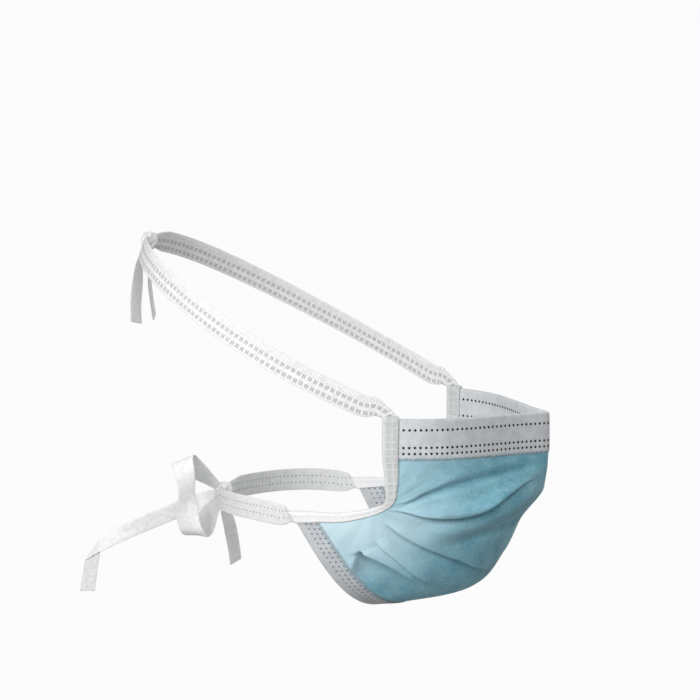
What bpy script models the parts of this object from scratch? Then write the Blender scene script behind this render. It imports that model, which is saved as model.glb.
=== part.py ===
"""Tie-on surgical mask, held in the form it has when it is worn.

The origin is the inside of the top edge where it sits on the nose bridge.
+Z is up, -Y is the way the mask faces, and -X is the wearer's right.
Lengths are in metres.
"""

import math

import bmesh
import bpy
import numpy as np

# Driving sizes of the open cup
FACE_HALF_BREADTH = 0.059
FACE_DEPTH = 0.102
FACE_DROP = 0.082
NOSE_ROUND = 0.0025
PANEL_WALL = 0.0012

# Driving sizes of the bands and the tape
HEM_WALL = 0.0010
NOSE_HEM_WIDTH = 0.0160
CHIN_HEM_WIDTH = 0.0105
TAPE_WALL = 0.0010
TAPE_WIDTH = 0.0100
BINDING_WIDTH = 0.0070
CLEARANCE = 0.0003

# Driving sizes of the pleat folds
FOLD_DEPTH = 0.0030
FOLD_WIDTH = 0.0050
FOLD_BEND = 0.06
FOLD_FADE = 0.12
FOLD_BEND_STEPS = 5
LAP_STEEPNESS = 4.0
LAP_REACH = 2.0
CUP_LENGTH = 0.121

# Shares of the cup over which the folds die out before its hems and side bindings
FREE_OF_SIDE = (0.05, 0.13)
FREE_OF_TOP = (0.14, 0.19)
FREE_OF_BOTTOM = (0.89, 0.84)

# Driving sizes of the space that the ties go round
HEAD_HALF_BREADTH = 0.070
HEAD_CENTRE = 0.0935
HEAD_BACK = 0.1795
CROWN_RISE = 0.073
CROWN_LEAN = 20.0
NECK_HALF_BREADTH = 0.054
NECK_BACK = 0.1445
NAPE_DROP = 0.040
CROWN_SAG = 0.0025
NAPE_ARCH = 0.0013

# Driving sizes of the knots and the free ends
KNOT_BREADTH = 0.010
KNOT_DEPTH = 0.007
KNOT_HEIGHT = 0.0085
KNOT_GROOVE = 0.12
KNOT_LEAN = 0.35
GROOVE_WIDTH = 0.09
BOW_SIZE = 0.020
TAIL_REACH = 0.062
CROWN_END = 0.036
NAPE_END = 0.034

# Shares of a tie over which it settles onto its way, comes to lean as the head does and
# swings round its lower edge
TIE_SETTLES = 0.35
TIE_LEANS = 0.30
TIE_SWINGS = 0.08

# A tie's start lies no further from the widest place of its way than this cosine
STEEPEST_START = 0.95

# Colours and roughness of the cloth
BLUE = (0.30, 0.52, 0.60)
WHITE = (0.86, 0.86, 0.86)
PANEL_ROUGHNESS = 0.75
TAPE_ROUGHNESS = 0.7

# Grid of the panel and the hems, steps of a tie and of a knot, and the samples and the step
# that the cup is measured with
HALF_COLUMNS = 23
PANEL_ROWS = 30
HEM_ROWS = 4
TIE_STEPS = 24
TIE_SPREAD = 1.3
KNOT_STEPS = 14
SHARP_ANGLE = 40.0
MEASURE_SAMPLES = 41
MEASURE_STEP = 1e-4
HEM_END_ROOM = 0.02

# Cross sections of the cup from the top edge (0) to the bottom edge (1).
# side and front are the ends of half a section, side_pull and front_pull are the
# handles that bend it. x is a share of FACE_HALF_BREADTH, y of FACE_DEPTH and z of FACE_DROP.
SECTION_COLUMNS = (
    "down",
    "side_x", "side_y", "side_z",
    "side_pull_x", "side_pull_y", "side_pull_z",
    "front_pull_x", "front_pull_y", "front_pull_z",
    "front_y", "front_z",
)
SECTIONS = (
    (0.00, 1.025, 0.566, 0.029, 0.92, 0.246, 0.02, 0.34, 0.190, 0.010, -0.041, 0.000),
    (0.13, 1.025, 0.566, -0.171, 0.93, 0.256, -0.18, 0.36, 0.170, -0.190, -0.038, -0.200),
    (0.26, 1.015, 0.558, -0.325, 0.95, 0.286, -0.31, 0.42, 0.076, -0.310, -0.014, -0.310),
    (0.38, 1.000, 0.563, -0.406, 0.95, 0.336, -0.41, 0.52, 0.016, -0.430, 0.026, -0.430),
    (0.50, 0.990, 0.608, -0.438, 0.95, 0.396, -0.51, 0.54, 0.096, -0.570, 0.111, -0.570),
    (0.65, 0.975, 0.693, -0.465, 0.94, 0.486, -0.64, 0.56, 0.176, -0.760, 0.191, -0.760),
    (0.80, 0.958, 0.805, -0.483, 0.92, 0.626, -0.80, 0.60, 0.336, -0.970, 0.331, -0.955),
    (0.90, 0.940, 0.896, -0.484, 0.90, 0.712, -0.86, 0.64, 0.566, -1.050, 0.536, -1.010),
    (1.00, 0.915, 0.984, -0.488, 0.88, 0.806, -0.88, 0.66, 0.726, -1.085, 0.656, -1.020),
)

# Outer width of each side binding along the side edge, as a share of BINDING_WIDTH
BINDING_COLUMNS = ("down", "width")
BINDING_STATIONS = (
    (0.00, 1.00),
    (0.18, 0.95),
    (0.30, 0.70),
    (0.40, 0.50),
    (0.60, 0.65),
    (0.90, 0.72),
    (1.00, 0.80),
)

# Folds of the cup. Each path is (inset, down) pairs: inset is a share of the way from the
# side edge to the front, down of the way from the top edge to the bottom edge. depth is a
# share of FOLD_DEPTH and width of FOLD_WIDTH. A lap drops away below its line.
FOLD_COLUMNS = ("kind", "depth", "width", "path")
FOLDS = (
    ("valley", 0.70, 1.0, ((0.10, 0.41), (0.18, 0.31), (0.35, 0.25), (0.92, 0.19))),
    ("ridge", 1.00, 1.5, ((0.18, 0.45), (0.47, 0.40), (0.65, 0.33), (0.92, 0.25))),
    ("valley", 1.30, 0.8, ((0.08, 0.47), (0.43, 0.48), (0.60, 0.40), (0.92, 0.31))),
    ("ridge", 0.60, 1.0, ((0.42, 0.54), (0.68, 0.47), (0.82, 0.44), (0.94, 0.37))),
    ("valley", 0.50, 1.2, ((0.55, 0.58), (0.75, 0.53), (0.97, 0.49), (1.00, 0.49))),
    ("lap", 1.00, 1.2, ((0.12, 0.63), (0.31, 0.66), (0.64, 0.69), (0.92, 0.72))),
    ("lap", 0.70, 1.0, ((0.20, 0.75), (0.32, 0.76), (0.43, 0.78), (0.62, 0.81))),
    ("valley", 0.70, 1.0, ((0.16, 0.86), (0.27, 0.83), (0.38, 0.86), (0.50, 0.90))),
)

# The tape of each tie. along is a share of its way round, width of TAPE_WIDTH and wall of
# TAPE_WALL. A tie begins as thick as the folded binding that it grows out of, and turned
# from its own upright towards the line across the binding by the share in turn.
TIE_COLUMNS = ("along", "width", "wall", "turn")
UPPER_TIE = (
    (0.00, 0.75, 2.8, 1.0),
    (0.02, 0.82, 1.8, 0.5),
    (0.06, 1.00, 1.0, 0.0),
    (0.92, 1.00, 1.0, 0.0),
    (1.00, 0.60, 1.6, 0.0),
)
LOWER_TIE = (
    (0.00, 0.58, 2.8, 1.0),
    (0.12, 0.80, 1.6, 0.3),
    (0.24, 1.00, 1.0, 0.0),
    (0.85, 1.00, 1.0, 0.0),
    (1.00, 0.60, 1.6, 0.0),
)

# Free tape, seen from the wearer's right. out, back and up are shares of the named reach,
# from the middle of its knot. A row of noughts is where the tape leaves the knot. lay is the
# angle of the line across the tape, up from the backward direction, and tilt leans that line
# outwards, both in degrees. width is a share of TAPE_WIDTH.
FREE_COLUMNS = ("out", "back", "up", "lay", "tilt", "width")
BOW_LOOP = (
    (0.0, 0.0, 0.0, -44, 0, 0.38),
    (0.28, 0.26, 0.29, -44, 0, 0.58),
    (0.45, 0.43, 0.475, -43, 0, 0.85),
    (0.575, 0.625, 0.675, -36, 0, 1.00),
    (0.65, 0.705, 0.76, -27, 0, 1.08),
    (0.75, 0.735, 0.80, -22, 0, 1.10),
    (0.85, 0.715, 0.74, -18, 0, 1.02),
    (0.925, 0.655, 0.55, -10, 12, 0.95),
    (0.965, 0.60, 0.25, -3, 42, 0.90),
    (0.97, 0.585, -0.025, 0, 48, 0.90),
    (0.95, 0.585, -0.30, 0, 28, 0.95),
    (0.89, 0.57, -0.575, 0, 10, 1.00),
    (0.79, 0.525, -0.80, 0, 0, 1.08),
    (0.625, 0.465, -0.915, 2, 0, 1.12),
    (0.46, 0.405, -0.825, 6, 0, 1.08),
    (0.38, 0.325, -0.625, 16, 0, 1.00),
    (0.33, 0.215, -0.40, 24, 0, 0.75),
    (0.0, 0.0, 0.0, 30, 0, 0.40),
)
BOW_TAIL = (
    (0.0, 0.0, 0.0, 66, 0, 0.40),
    (0.040, 0.121, -0.048, 66, 15, 0.70),
    (0.048, 0.218, -0.094, 66, 35, 1.00),
    (0.040, 0.395, -0.174, 66, 40, 1.00),
    (0.032, 0.573, -0.256, 66, 40, 1.00),
    (0.024, 0.750, -0.342, 66, 35, 1.00),
    (0.030, 0.822, -0.366, 62, 35, 0.95),
    (0.035, 0.890, -0.388, 90, 25, 0.85),
    (0.027, 0.936, -0.417, 111, 10, 1.05),
    (0.010, 0.992, -0.455, 127, 0, 1.44),
    (-0.010, 1.009, -0.517, 133, 0, 1.34),
    (-0.021, 1.024, -0.591, 142, 10, 1.12),
    (-0.024, 1.039, -0.695, 151, 20, 1.02),
    (-0.021, 1.053, -0.777, 162, 25, 1.00),
    (-0.018, 1.060, -0.831, 164, 25, 1.00),
)
SHORT_END = (
    (0.0, 0.0, 0.0, 0, 75, 0.45),
    (-0.17, 0.03, -0.30, 0, 75, 0.80),
    (-0.24, 0.00, -0.50, 0, 75, 1.00),
    (-0.30, -0.03, -0.75, 0, 75, 1.00),
    (-0.34, -0.05, -1.00, 0, 75, 1.00),
)
CROWN_ENDS = (
    (0.0, 0.0, 0.0, 0, 80, 0.35),
    (0.22, 0.06, -0.30, 0, 80, 0.75),
    (0.24, 0.08, -0.52, 0, 80, 1.00),
    (0.31, 0.08, -0.76, 0, 80, 1.00),
    (0.36, 0.06, -1.00, 0, 80, 1.00),
)


def clear_scene():
    """Removes whatever the scene held before."""
    for obj in list(bpy.data.objects):
        bpy.data.objects.remove(obj, do_unlink=True)


def unit(vector):
    return vector / np.linalg.norm(vector)


def smooth_column(stations, values, where):
    """Value at one place of a smooth curve through the stations."""
    slopes = np.gradient(values, stations)
    index = int(np.clip(np.searchsorted(stations, where) - 1, 0, len(stations) - 2))
    span = stations[index + 1] - stations[index]
    share = (where - stations[index]) / span
    square, cube = share**2, share**3
    return (
        (2 * cube - 3 * square + 1) * values[index]
        + (cube - 2 * square + share) * span * slopes[index]
        + (3 * square - 2 * cube) * values[index + 1]
        + (cube - square) * span * slopes[index + 1]
    )


def section(down):
    """The row of the section table at one height, as a dictionary of metres."""
    table = np.array(SECTIONS)
    follows = {"x": FACE_HALF_BREADTH, "y": FACE_DEPTH, "z": FACE_DROP}
    row = {}
    for index, name in enumerate(SECTION_COLUMNS[1:], start=1):
        share = smooth_column(table[:, 0], table[:, index], down)
        row[name] = share * follows[name[-1]]
    return row


def cup_point(across, down):
    """Point of the unfolded outer face. across runs from -1 at the right edge to 1 at the left."""
    row = section(down)
    share = 1 - abs(across)
    weights = ((1 - share) ** 3, 3 * share * (1 - share) ** 2, 3 * share**2 * (1 - share), share**3)
    points = (
        (row["side_x"], row["side_y"], row["side_z"]),
        (row["side_pull_x"], row["side_pull_y"], row["side_pull_z"]),
        (row["front_pull_x"], row["front_pull_y"], row["front_pull_z"]),
        (0.0, row["front_y"], row["front_z"]),
    )
    x, y, z = sum(weight * np.array(point) for weight, point in zip(weights, points))
    flank = (row["front_pull_y"] - row["front_y"]) / row["front_pull_x"]
    y += flank * (math.hypot(x, NOSE_ROUND) - x)
    return np.array((math.copysign(x, across), y, z))


def cup_frame(across, down):
    """Outward normal, direction towards the wearer's left and direction down the cup."""
    step = MEASURE_STEP
    left = cup_point(min(across + step, 1), down) - cup_point(max(across - step, -1), down)
    lower = cup_point(across, min(down + step, 1)) - cup_point(across, max(down - step, 0))
    normal = unit(np.cross(lower, left))
    return normal, unit(left), unit(lower)


def eased(where, start=0.0, end=1.0):
    """0 at the start to 1 at the end, gently."""
    share = min(max((where - start) / (end - start), 0.0), 1.0)
    return share * share * (3 - 2 * share)


def fold_height(across, down):
    """How far the folds raise the cloth off the plain cup."""
    inset = 1 - abs(across)
    free = eased(inset, *FREE_OF_SIDE) * eased(down, *FREE_OF_TOP) * eased(down, *FREE_OF_BOTTOM)
    height = 0.0
    for fold in FOLDS:
        kind, depth, width, path = fold
        insets, downs = zip(*path)
        line = np.interp(inset + np.linspace(-FOLD_BEND, FOLD_BEND, FOLD_BEND_STEPS), insets, downs).mean()
        away = (down - line) * CUP_LENGTH / (width * FOLD_WIDTH)
        grows = eased(inset, insets[0], insets[0] + FOLD_FADE)
        fades = eased(inset, insets[-1], insets[-1] - FOLD_FADE)
        if kind == "lap":
            shape = -math.tanh(LAP_STEEPNESS * away) * math.exp(-((away / LAP_REACH) ** 2))
        else:
            shape = math.exp(-(away**2)) * (1 if kind == "ridge" else -1)
        height += FOLD_DEPTH * depth * grows * fades * shape
    return height * free


def sheet_point(across, down, lift, below=0.0, beyond=0.0):
    """Point at a lift off the outer face, below a free edge or beyond a side edge by a length."""
    normal, left, lower = cup_frame(across, down)
    outwards = left if across > 0 else -left
    raised = lift + fold_height(across, down)
    return cup_point(across, down) + raised * normal + below * lower + beyond * outwards


def down_at(across, edge, width):
    """Place on the cup at a width from its top edge (0) or its bottom edge (1)."""
    places = np.linspace(edge, 0.5, MEASURE_SAMPLES)
    points = np.array([cup_point(across, place) for place in places])
    lengths = np.concatenate(([0], np.cumsum(np.linalg.norm(np.diff(points, axis=0), axis=1))))
    return float(np.interp(width, lengths, places))


def inset_at(down, width):
    """Share of a half section that lies within a width of the side edge."""
    shares = np.linspace(0, 0.5, MEASURE_SAMPLES)
    points = np.array([cup_point(share - 1, down) for share in shares])
    lengths = np.concatenate(([0], np.cumsum(np.linalg.norm(np.diff(points, axis=0), axis=1))))
    return float(np.interp(width, lengths, shares))


def column_value(table, columns, name, where):
    stations = np.array(table)
    return float(np.interp(where, stations[:, 0], stations[:, columns.index(name)]))


def binding_width(down):
    return BINDING_WIDTH * column_value(BINDING_STATIONS, BINDING_COLUMNS, "width", down)


def add_object(name, bm, material):
    bmesh.ops.recalc_face_normals(bm, faces=bm.faces)
    mesh = bpy.data.meshes.new(name)
    bm.to_mesh(mesh)
    bm.free()
    obj = bpy.data.objects.new(name, mesh)
    bpy.context.scene.collection.objects.link(obj)
    mesh.materials.append(material)
    mesh.shade_smooth()
    mesh.set_sharp_from_angle(angle=math.radians(SHARP_ANGLE))
    return obj


def solid_of_sections(name, sections, material):
    """A closed solid through sections that each hold the same number of points.

    Each section runs along one wall and back along the other. Each quad is split
    towards the nearer end of the solid, as the folds of the cup run.
    """
    bm = bmesh.new()
    rings = [[bm.verts.new(point) for point in ring] for ring in sections]
    count = len(rings[0])
    wall = count // 2
    for step, (first, second) in enumerate(zip(rings, rings[1:])):
        for index in range(count):
            following = (index + 1) % count
            corners = [first[index], first[following], second[following], second[index]]
            if (step < len(rings) // 2) == (index < wall):
                corners.append(corners.pop(0))
            bm.faces.new(corners)
    for ring in (rings[0], rings[-1]):
        for index in range(wall - 1):
            bm.faces.new((ring[index], ring[index + 1], ring[-index - 2], ring[-index - 1]))
    bmesh.ops.triangulate(bm, faces=bm.faces, quad_method="FIXED")
    return add_object(name, bm, material)


def make_material(name, colour, roughness):
    material = bpy.data.materials.new(name)
    material.use_nodes = True
    shader = material.node_tree.nodes["Principled BSDF"]
    shader.inputs["Base Color"].default_value = (*colour, 1.0)
    shader.inputs["Roughness"].default_value = roughness
    shader.inputs["Metallic"].default_value = 0.0
    return material


def panel_columns():
    return np.linspace(-1, 1, 2 * HALF_COLUMNS + 1)


def panel_rows():
    return np.linspace(0, 1, PANEL_ROWS + 1)


def make_panel(material):
    rows = panel_rows()
    sections = []
    for across in panel_columns():
        outer = [sheet_point(across, down, 0.0) for down in rows]
        inner = [sheet_point(across, down, -PANEL_WALL) for down in rows]
        sections.append(outer + inner[::-1])
    return solid_of_sections("pleated_panel", sections, material)


def make_hem(name, edge, width, material):
    """A band over the outer face that folds over the free edge: 0 is the top, 1 the bottom."""
    way = 1 if edge == 0 else -1
    near, far = CLEARANCE, CLEARANCE + HEM_WALL
    sections = []
    for across in hem_columns(edge):
        reach = down_at(across, edge, width)
        downs = np.linspace(reach, edge, HEM_ROWS)
        end = [hem_end(across, down) for down in downs]
        outer = [sheet_point(place, down, far) for place, down in zip(end, downs)]
        inner = [sheet_point(place, down, near) for place, down in zip(end, downs)]
        place = end[-1]
        outer[-1] = sheet_point(place, edge, far, below=-way * far)
        inner[-1] = sheet_point(place, edge, near, below=-way * near)
        outer.append(sheet_point(place, edge, -PANEL_WALL, below=-way * far))
        inner.append(sheet_point(place, edge, -PANEL_WALL, below=-way * near))
        sections.append(outer + inner[::-1])
    return solid_of_sections(name, sections, material)


def hem_limit(down):
    """The largest across that a hem reaches, where the side binding begins."""
    return 1 - inset_at(down, binding_width(down) + CLEARANCE)


def hem_columns(edge):
    limit = hem_limit(edge)
    inside = [float(across) for across in panel_columns() if abs(across) < limit - HEM_END_ROOM]
    return [-1.0, *inside, 1.0]


def hem_end(across, down):
    """Moves the end columns of a hem to the edge of the side binding."""
    if abs(across) < 1:
        return across
    return math.copysign(hem_limit(down), across)


def make_binding(side, label, material):
    """Tape folded over one side edge. side is -1 for the wearer's right and 1 for the left."""
    near, far = CLEARANCE, CLEARANCE + TAPE_WALL
    stations = [(0.0, -far)] + [(down, 0.0) for down in panel_rows()] + [(1.0, far)]
    sections = []
    for down, below in stations:
        inset = inset_at(down, binding_width(down))
        edge = {"across": side, "down": down, "below": below}
        leg = {"across": side * (1 - inset), "down": down, "below": below}
        sections.append([
            sheet_point(lift=far, **leg),
            sheet_point(lift=far, beyond=far, **edge),
            sheet_point(lift=-PANEL_WALL - far, beyond=far, **edge),
            sheet_point(lift=-PANEL_WALL - far, **leg),
            sheet_point(lift=-PANEL_WALL - near, **leg),
            sheet_point(lift=-PANEL_WALL - near, beyond=near, **edge),
            sheet_point(lift=near, beyond=near, **edge),
            sheet_point(lift=near, **leg),
        ])
    return solid_of_sections(f"side_binding_{label}", sections, material)


def tape_section(centre, line, tangent, width, wall):
    """Four corners of a tape's section. line is the direction across the tape."""
    normal = unit(np.cross(tangent, line))
    side, face = line * width / 2, normal * wall / 2
    return [centre - side - face, centre + side - face, centre + side + face, centre - side + face]


def make_tape(name, centres, lines, widths, walls, material):
    """A tape through centres, each with the direction across it, its width and its wall."""
    tangents = np.gradient(np.array(centres), axis=0)
    sections = [
        tape_section(centre, unit(line), unit(tangent), width, wall)
        for centre, line, tangent, width, wall in zip(centres, lines, tangents, widths, walls)
    ]
    return solid_of_sections(name, sections, material)


def mirrored(point, side):
    """A point of the wearer's right side as it is for side -1, or its mirror image for side 1."""
    return np.array((-side * point[0], point[1], point[2]))


def binding_end(down):
    """Middle of the face that a tie grows out of, above the binding (0) or below it (1).

    The line across it points to the edge of the tie that comes to lie uppermost.
    """
    beyond = TAPE_WALL + 3 * CLEARANCE
    below = beyond if down == 1 else -beyond
    inset = inset_at(down, binding_width(down))
    middle = -PANEL_WALL / 2
    back = sheet_point(-1.0, down, middle, below=below, beyond=CLEARANCE + TAPE_WALL)
    front = sheet_point(inset - 1, down, middle, below=below)
    line = unit(back - front) if down == 1 else unit(front - back)
    return (back + front) / 2, line


def way_round(start, half_breadth, back, end_height, arch, end_gap):
    """Middle points of a tape from its start on the right to the back, and the outward directions."""
    depth = back - HEAD_CENTRE
    widest = np.clip((HEAD_CENTRE - start[1]) / depth, -STEEPEST_START, STEEPEST_START)
    first = math.acos(widest)
    last = math.pi - end_gap / half_breadth
    points, outwards = [], []
    shares = np.linspace(0, 1, TIE_STEPS + 1) ** TIE_SPREAD
    for share in shares:
        turn = first + (last - first) * share
        along = -depth * math.cos(turn) + HEAD_CENTRE
        rise = (along - start[1]) / (back - start[1])
        height = start[2] + (end_height - start[2]) * rise + arch * math.sin(math.pi * rise)
        point = np.array((-half_breadth * math.sin(turn), along, height))
        if not points:
            miss = start - point
        points.append(point + miss * eased(share, TIE_SETTLES, 0))
        outward = np.array((-math.sin(turn) / half_breadth, -math.cos(turn) / depth, 0.0))
        outwards.append(unit(outward))
    return points, outwards, shares


def make_tie(name, side, start_line, way, table, lean, material):
    """One tie from a corner of the cup to a knot. It turns away from the line across the binding."""
    points, outwards, shares = way
    tangents = np.gradient(np.array(points), axis=0)
    centres, lines, widths, walls = [], [], [], []
    for point, outward, share, tangent in zip(points, outwards, shares, tangents):
        upright = unit(np.cross(unit(tangent), outward))
        tip = math.radians(lean) * eased(share, 0, TIE_LEANS)
        line = upright * math.cos(tip) - outward * math.sin(tip)
        turned = column_value(table, TIE_COLUMNS, "turn", share)
        line = unit(line * (1 - turned) + start_line * turned)
        widths.append(TAPE_WIDTH * column_value(table, TIE_COLUMNS, "width", share))
        swing = (line * widths[-1] - start_line * widths[0]) / 2
        centres.append(mirrored(point + swing * eased(share, TIE_SWINGS, 0), side))
        lines.append(mirrored(line, side))
        walls.append(TAPE_WALL * column_value(table, TIE_COLUMNS, "wall", share))
    return make_tape(name, centres, lines, widths, walls, material)


def knot_reach(away):
    """How far a knot reaches from its middle in one direction."""
    return np.linalg.norm(away * (KNOT_BREADTH, KNOT_DEPTH, KNOT_HEIGHT)) / 2


def make_free_tape(name, table, reach, knot, side, material):
    """A loop, tail or end of tape that leaves a knot."""
    centres, lines, widths, leaves = [], [], [], []
    for out, back, up, lay, tilt, width in table:
        lay, tilt = math.radians(lay), math.radians(tilt)
        line = np.array((-math.sin(tilt), math.cos(tilt) * math.cos(lay), math.cos(tilt) * math.sin(lay)))
        centres.append(knot + mirrored(reach * np.array((-out, back, up)), side))
        lines.append(mirrored(line, side))
        widths.append(TAPE_WIDTH * width)
        leaves.append(out == back == up == 0)
    for end, following in ((0, 1), (-1, -2)):
        if leaves[end]:
            away = unit(centres[following] - knot)
            centres[end] = knot + away * (knot_reach(away) + CLEARANCE)
            lines[end] = lines[end] - away * np.dot(lines[end], away)
    return make_tape(name, centres, lines, widths, [TAPE_WALL] * len(table), material)


def make_knot(name, middle, material):
    """A rounded knot with a shallow groove round it, where the tapes cross."""
    bm = bmesh.new()
    bmesh.ops.create_uvsphere(bm, u_segments=KNOT_STEPS, v_segments=KNOT_STEPS // 2, radius=0.5)
    for vert in bm.verts:
        groove = 1 - KNOT_GROOVE * math.exp(-((vert.co.x - KNOT_LEAN * vert.co.z) / GROOVE_WIDTH) ** 2)
        size = (KNOT_BREADTH, KNOT_DEPTH * groove, KNOT_HEIGHT * groove)
        vert.co = [middle[axis] + vert.co[axis] * size[axis] for axis in range(3)]
    return add_object(name, bm, material)


def make_ties():
    tie_end = KNOT_BREADTH / 2 + CLEARANCE
    crown = np.array((0.0, HEAD_BACK + KNOT_DEPTH / 2, CROWN_RISE))
    nape = np.array((0.0, NECK_BACK + KNOT_DEPTH / 2, -NAPE_DROP))
    top, top_line = binding_end(0)
    foot, foot_line = binding_end(1)
    over = way_round(top, HEAD_HALF_BREADTH, crown[1], CROWN_RISE, -CROWN_SAG, tie_end)
    under = way_round(foot, NECK_HALF_BREADTH, nape[1], -NAPE_DROP, NAPE_ARCH, tie_end)
    for side, label in ((-1, "right"), (1, "left")):
        upper, lower, end = f"upper_tie_{label}", f"lower_tie_{label}", f"crown_end_{label}"
        make_tie(upper, side, top_line, over, UPPER_TIE, CROWN_LEAN, white(upper))
        make_tie(lower, side, foot_line, under, LOWER_TIE, 0.0, white(lower))
        make_free_tape(end, CROWN_ENDS, CROWN_END, crown, side, white(end))
    make_knot("crown_knot", crown, white("crown_knot"))
    make_knot("nape_knot", nape, white("nape_knot"))
    make_free_tape("nape_bow_loop", BOW_LOOP, BOW_SIZE, nape, -1, white("nape_bow_loop"))
    make_free_tape("nape_bow_tail", BOW_TAIL, TAIL_REACH, nape, -1, white("nape_bow_tail"))
    make_free_tape("nape_short_end", SHORT_END, NAPE_END, nape, -1, white("nape_short_end"))


def white(piece):
    """The white cloth of one piece of tape or hem."""
    return make_material(f"{piece}_cloth", WHITE, TAPE_ROUGHNESS)


clear_scene()
make_panel(make_material("pleated_panel_cloth", BLUE, PANEL_ROUGHNESS))
make_hem("nose_hem", 0, NOSE_HEM_WIDTH, white("nose_hem"))
make_hem("chin_hem", 1, CHIN_HEM_WIDTH, white("chin_hem"))
make_binding(-1, "right", white("side_binding_right"))
make_binding(1, "left", white("side_binding_left"))
make_ties()
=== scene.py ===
# %% [markdown]
# This is a tie-on surgical mask, held in the form that it has when it is worn. The solids of the
# model are loaded first as a fixed frame: they give every place and size. Each cell then dresses
# one piece of the mask in cloth, and the last cells add the floor, the light and the camera.

# %% Load the frame
import math

import bmesh
import bpy
import numpy as np
from mathutils import Matrix, Vector, noise


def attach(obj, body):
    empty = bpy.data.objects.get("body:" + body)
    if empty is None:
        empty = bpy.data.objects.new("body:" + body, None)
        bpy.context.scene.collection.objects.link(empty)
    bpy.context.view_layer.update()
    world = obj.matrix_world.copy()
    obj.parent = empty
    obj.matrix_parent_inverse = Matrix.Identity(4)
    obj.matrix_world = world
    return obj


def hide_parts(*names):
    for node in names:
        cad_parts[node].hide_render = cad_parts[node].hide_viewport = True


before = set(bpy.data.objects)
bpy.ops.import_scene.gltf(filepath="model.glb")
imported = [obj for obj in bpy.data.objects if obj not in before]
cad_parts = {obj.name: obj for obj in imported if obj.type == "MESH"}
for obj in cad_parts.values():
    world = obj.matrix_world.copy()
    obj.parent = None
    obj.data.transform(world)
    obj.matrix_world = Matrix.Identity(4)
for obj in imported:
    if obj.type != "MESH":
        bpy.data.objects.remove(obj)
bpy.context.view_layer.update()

print("nodes in the frame:", len(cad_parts))

# %% [markdown]
# A worn mask is an open cup. It could be sculpted by hand or draped by a simulation, but the ties
# pull this one into a known form, so it is described by cross sections: each row holds one section
# of half the cup, from the side edge to the middle of the front, as a curve with two handles.
# The rows are the same as those of the solid, so the cloth lies where the solid does.

# %% The cup's sections
HALF_BREADTH, DEPTH, DROP = 0.059, 0.102, 0.082
NOSE_ROUND = 0.0025
PANEL_WALL = 0.0012
# down, side x y z, side handle x y z, front handle x y z, front y z, as shares of the sizes above
SECTIONS = np.array((
    (0.00, 1.025, 0.566, 0.029, 0.92, 0.246, 0.02, 0.34, 0.190, 0.010, -0.041, 0.000),
    (0.13, 1.025, 0.566, -0.171, 0.93, 0.256, -0.18, 0.36, 0.170, -0.190, -0.038, -0.200),
    (0.26, 1.015, 0.558, -0.325, 0.95, 0.286, -0.31, 0.42, 0.076, -0.310, -0.014, -0.310),
    (0.38, 1.000, 0.563, -0.406, 0.95, 0.336, -0.41, 0.52, 0.016, -0.430, 0.026, -0.430),
    (0.50, 0.990, 0.608, -0.438, 0.95, 0.396, -0.51, 0.54, 0.096, -0.570, 0.111, -0.570),
    (0.65, 0.975, 0.693, -0.465, 0.94, 0.486, -0.64, 0.56, 0.176, -0.760, 0.191, -0.760),
    (0.80, 0.958, 0.805, -0.483, 0.92, 0.626, -0.80, 0.60, 0.336, -0.970, 0.331, -0.955),
    (0.90, 0.940, 0.896, -0.484, 0.90, 0.712, -0.86, 0.64, 0.566, -1.050, 0.536, -1.010),
    (1.00, 0.915, 0.984, -0.488, 0.88, 0.806, -0.88, 0.66, 0.726, -1.085, 0.656, -1.020),
))
STATIONS, SHAPES = SECTIONS[:, 0], SECTIONS[:, 1:]
SLOPES = np.gradient(SHAPES, STATIONS, axis=0)


def smooth_between(rows, slopes, low, share, span=1.0):
    """Points a share of the way from a low row to the next, on a smooth curve through all rows."""
    square, cube = share**2, share**3
    return (
        (2 * cube - 3 * square + 1) * rows[low]
        + (cube - 2 * square + share) * span * slopes[low]
        + (3 * square - 2 * cube) * rows[low + 1]
        + (cube - square) * span * slopes[low + 1]
    )


def section_at(down):
    """The section table at many places."""
    low = np.clip(np.searchsorted(STATIONS, down) - 1, 0, len(STATIONS) - 2)
    span = (STATIONS[low + 1] - STATIONS[low])[..., None]
    share = (down - STATIONS[low])[..., None] / span
    return np.moveaxis(smooth_between(SHAPES, SLOPES, low, share, span), -1, 0)


print("sections in the table:", len(SECTIONS))

# %% [markdown]
# Two numbers name any place on the cup: how far across it is and how far down. From them come the
# point itself and the three directions there, outwards, to the left and down, in which the next
# cells move the cloth. The ridge along the front is rounded a little, so that it isn't a crease.

# %% Points and directions on the cup
TINY_STEP = 1e-4


def cup_point(across, down):
    """Points of the plain cup. across is -1 at the right edge and 1 at the left, down is 0 to 1.

    The side edge, two handles and the front pull on each section, as in any Bezier curve.
    """
    across, down = np.asarray(across, float), np.asarray(down, float)
    column = section_at(down)
    share = 1 - np.abs(across)
    weights = ((1 - share) ** 3, 3 * share * (1 - share) ** 2, 3 * share**2 * (1 - share), share**3)
    x = HALF_BREADTH * (weights[0] * column[0] + weights[1] * column[3] + weights[2] * column[6])
    y = DEPTH * sum(w * column[i] for w, i in zip(weights, (1, 4, 7, 9)))
    z = DROP * sum(w * column[i] for w, i in zip(weights, (2, 5, 8, 10)))
    flank = DEPTH * (column[7] - column[9]) / (HALF_BREADTH * column[6])
    y = y + flank * (np.hypot(x, NOSE_ROUND) - x)
    return np.stack([np.copysign(x, across), y, z], -1)


def unit(vectors):
    """The same directions at length one."""
    return vectors / np.linalg.norm(vectors, axis=-1, keepdims=True)


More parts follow.
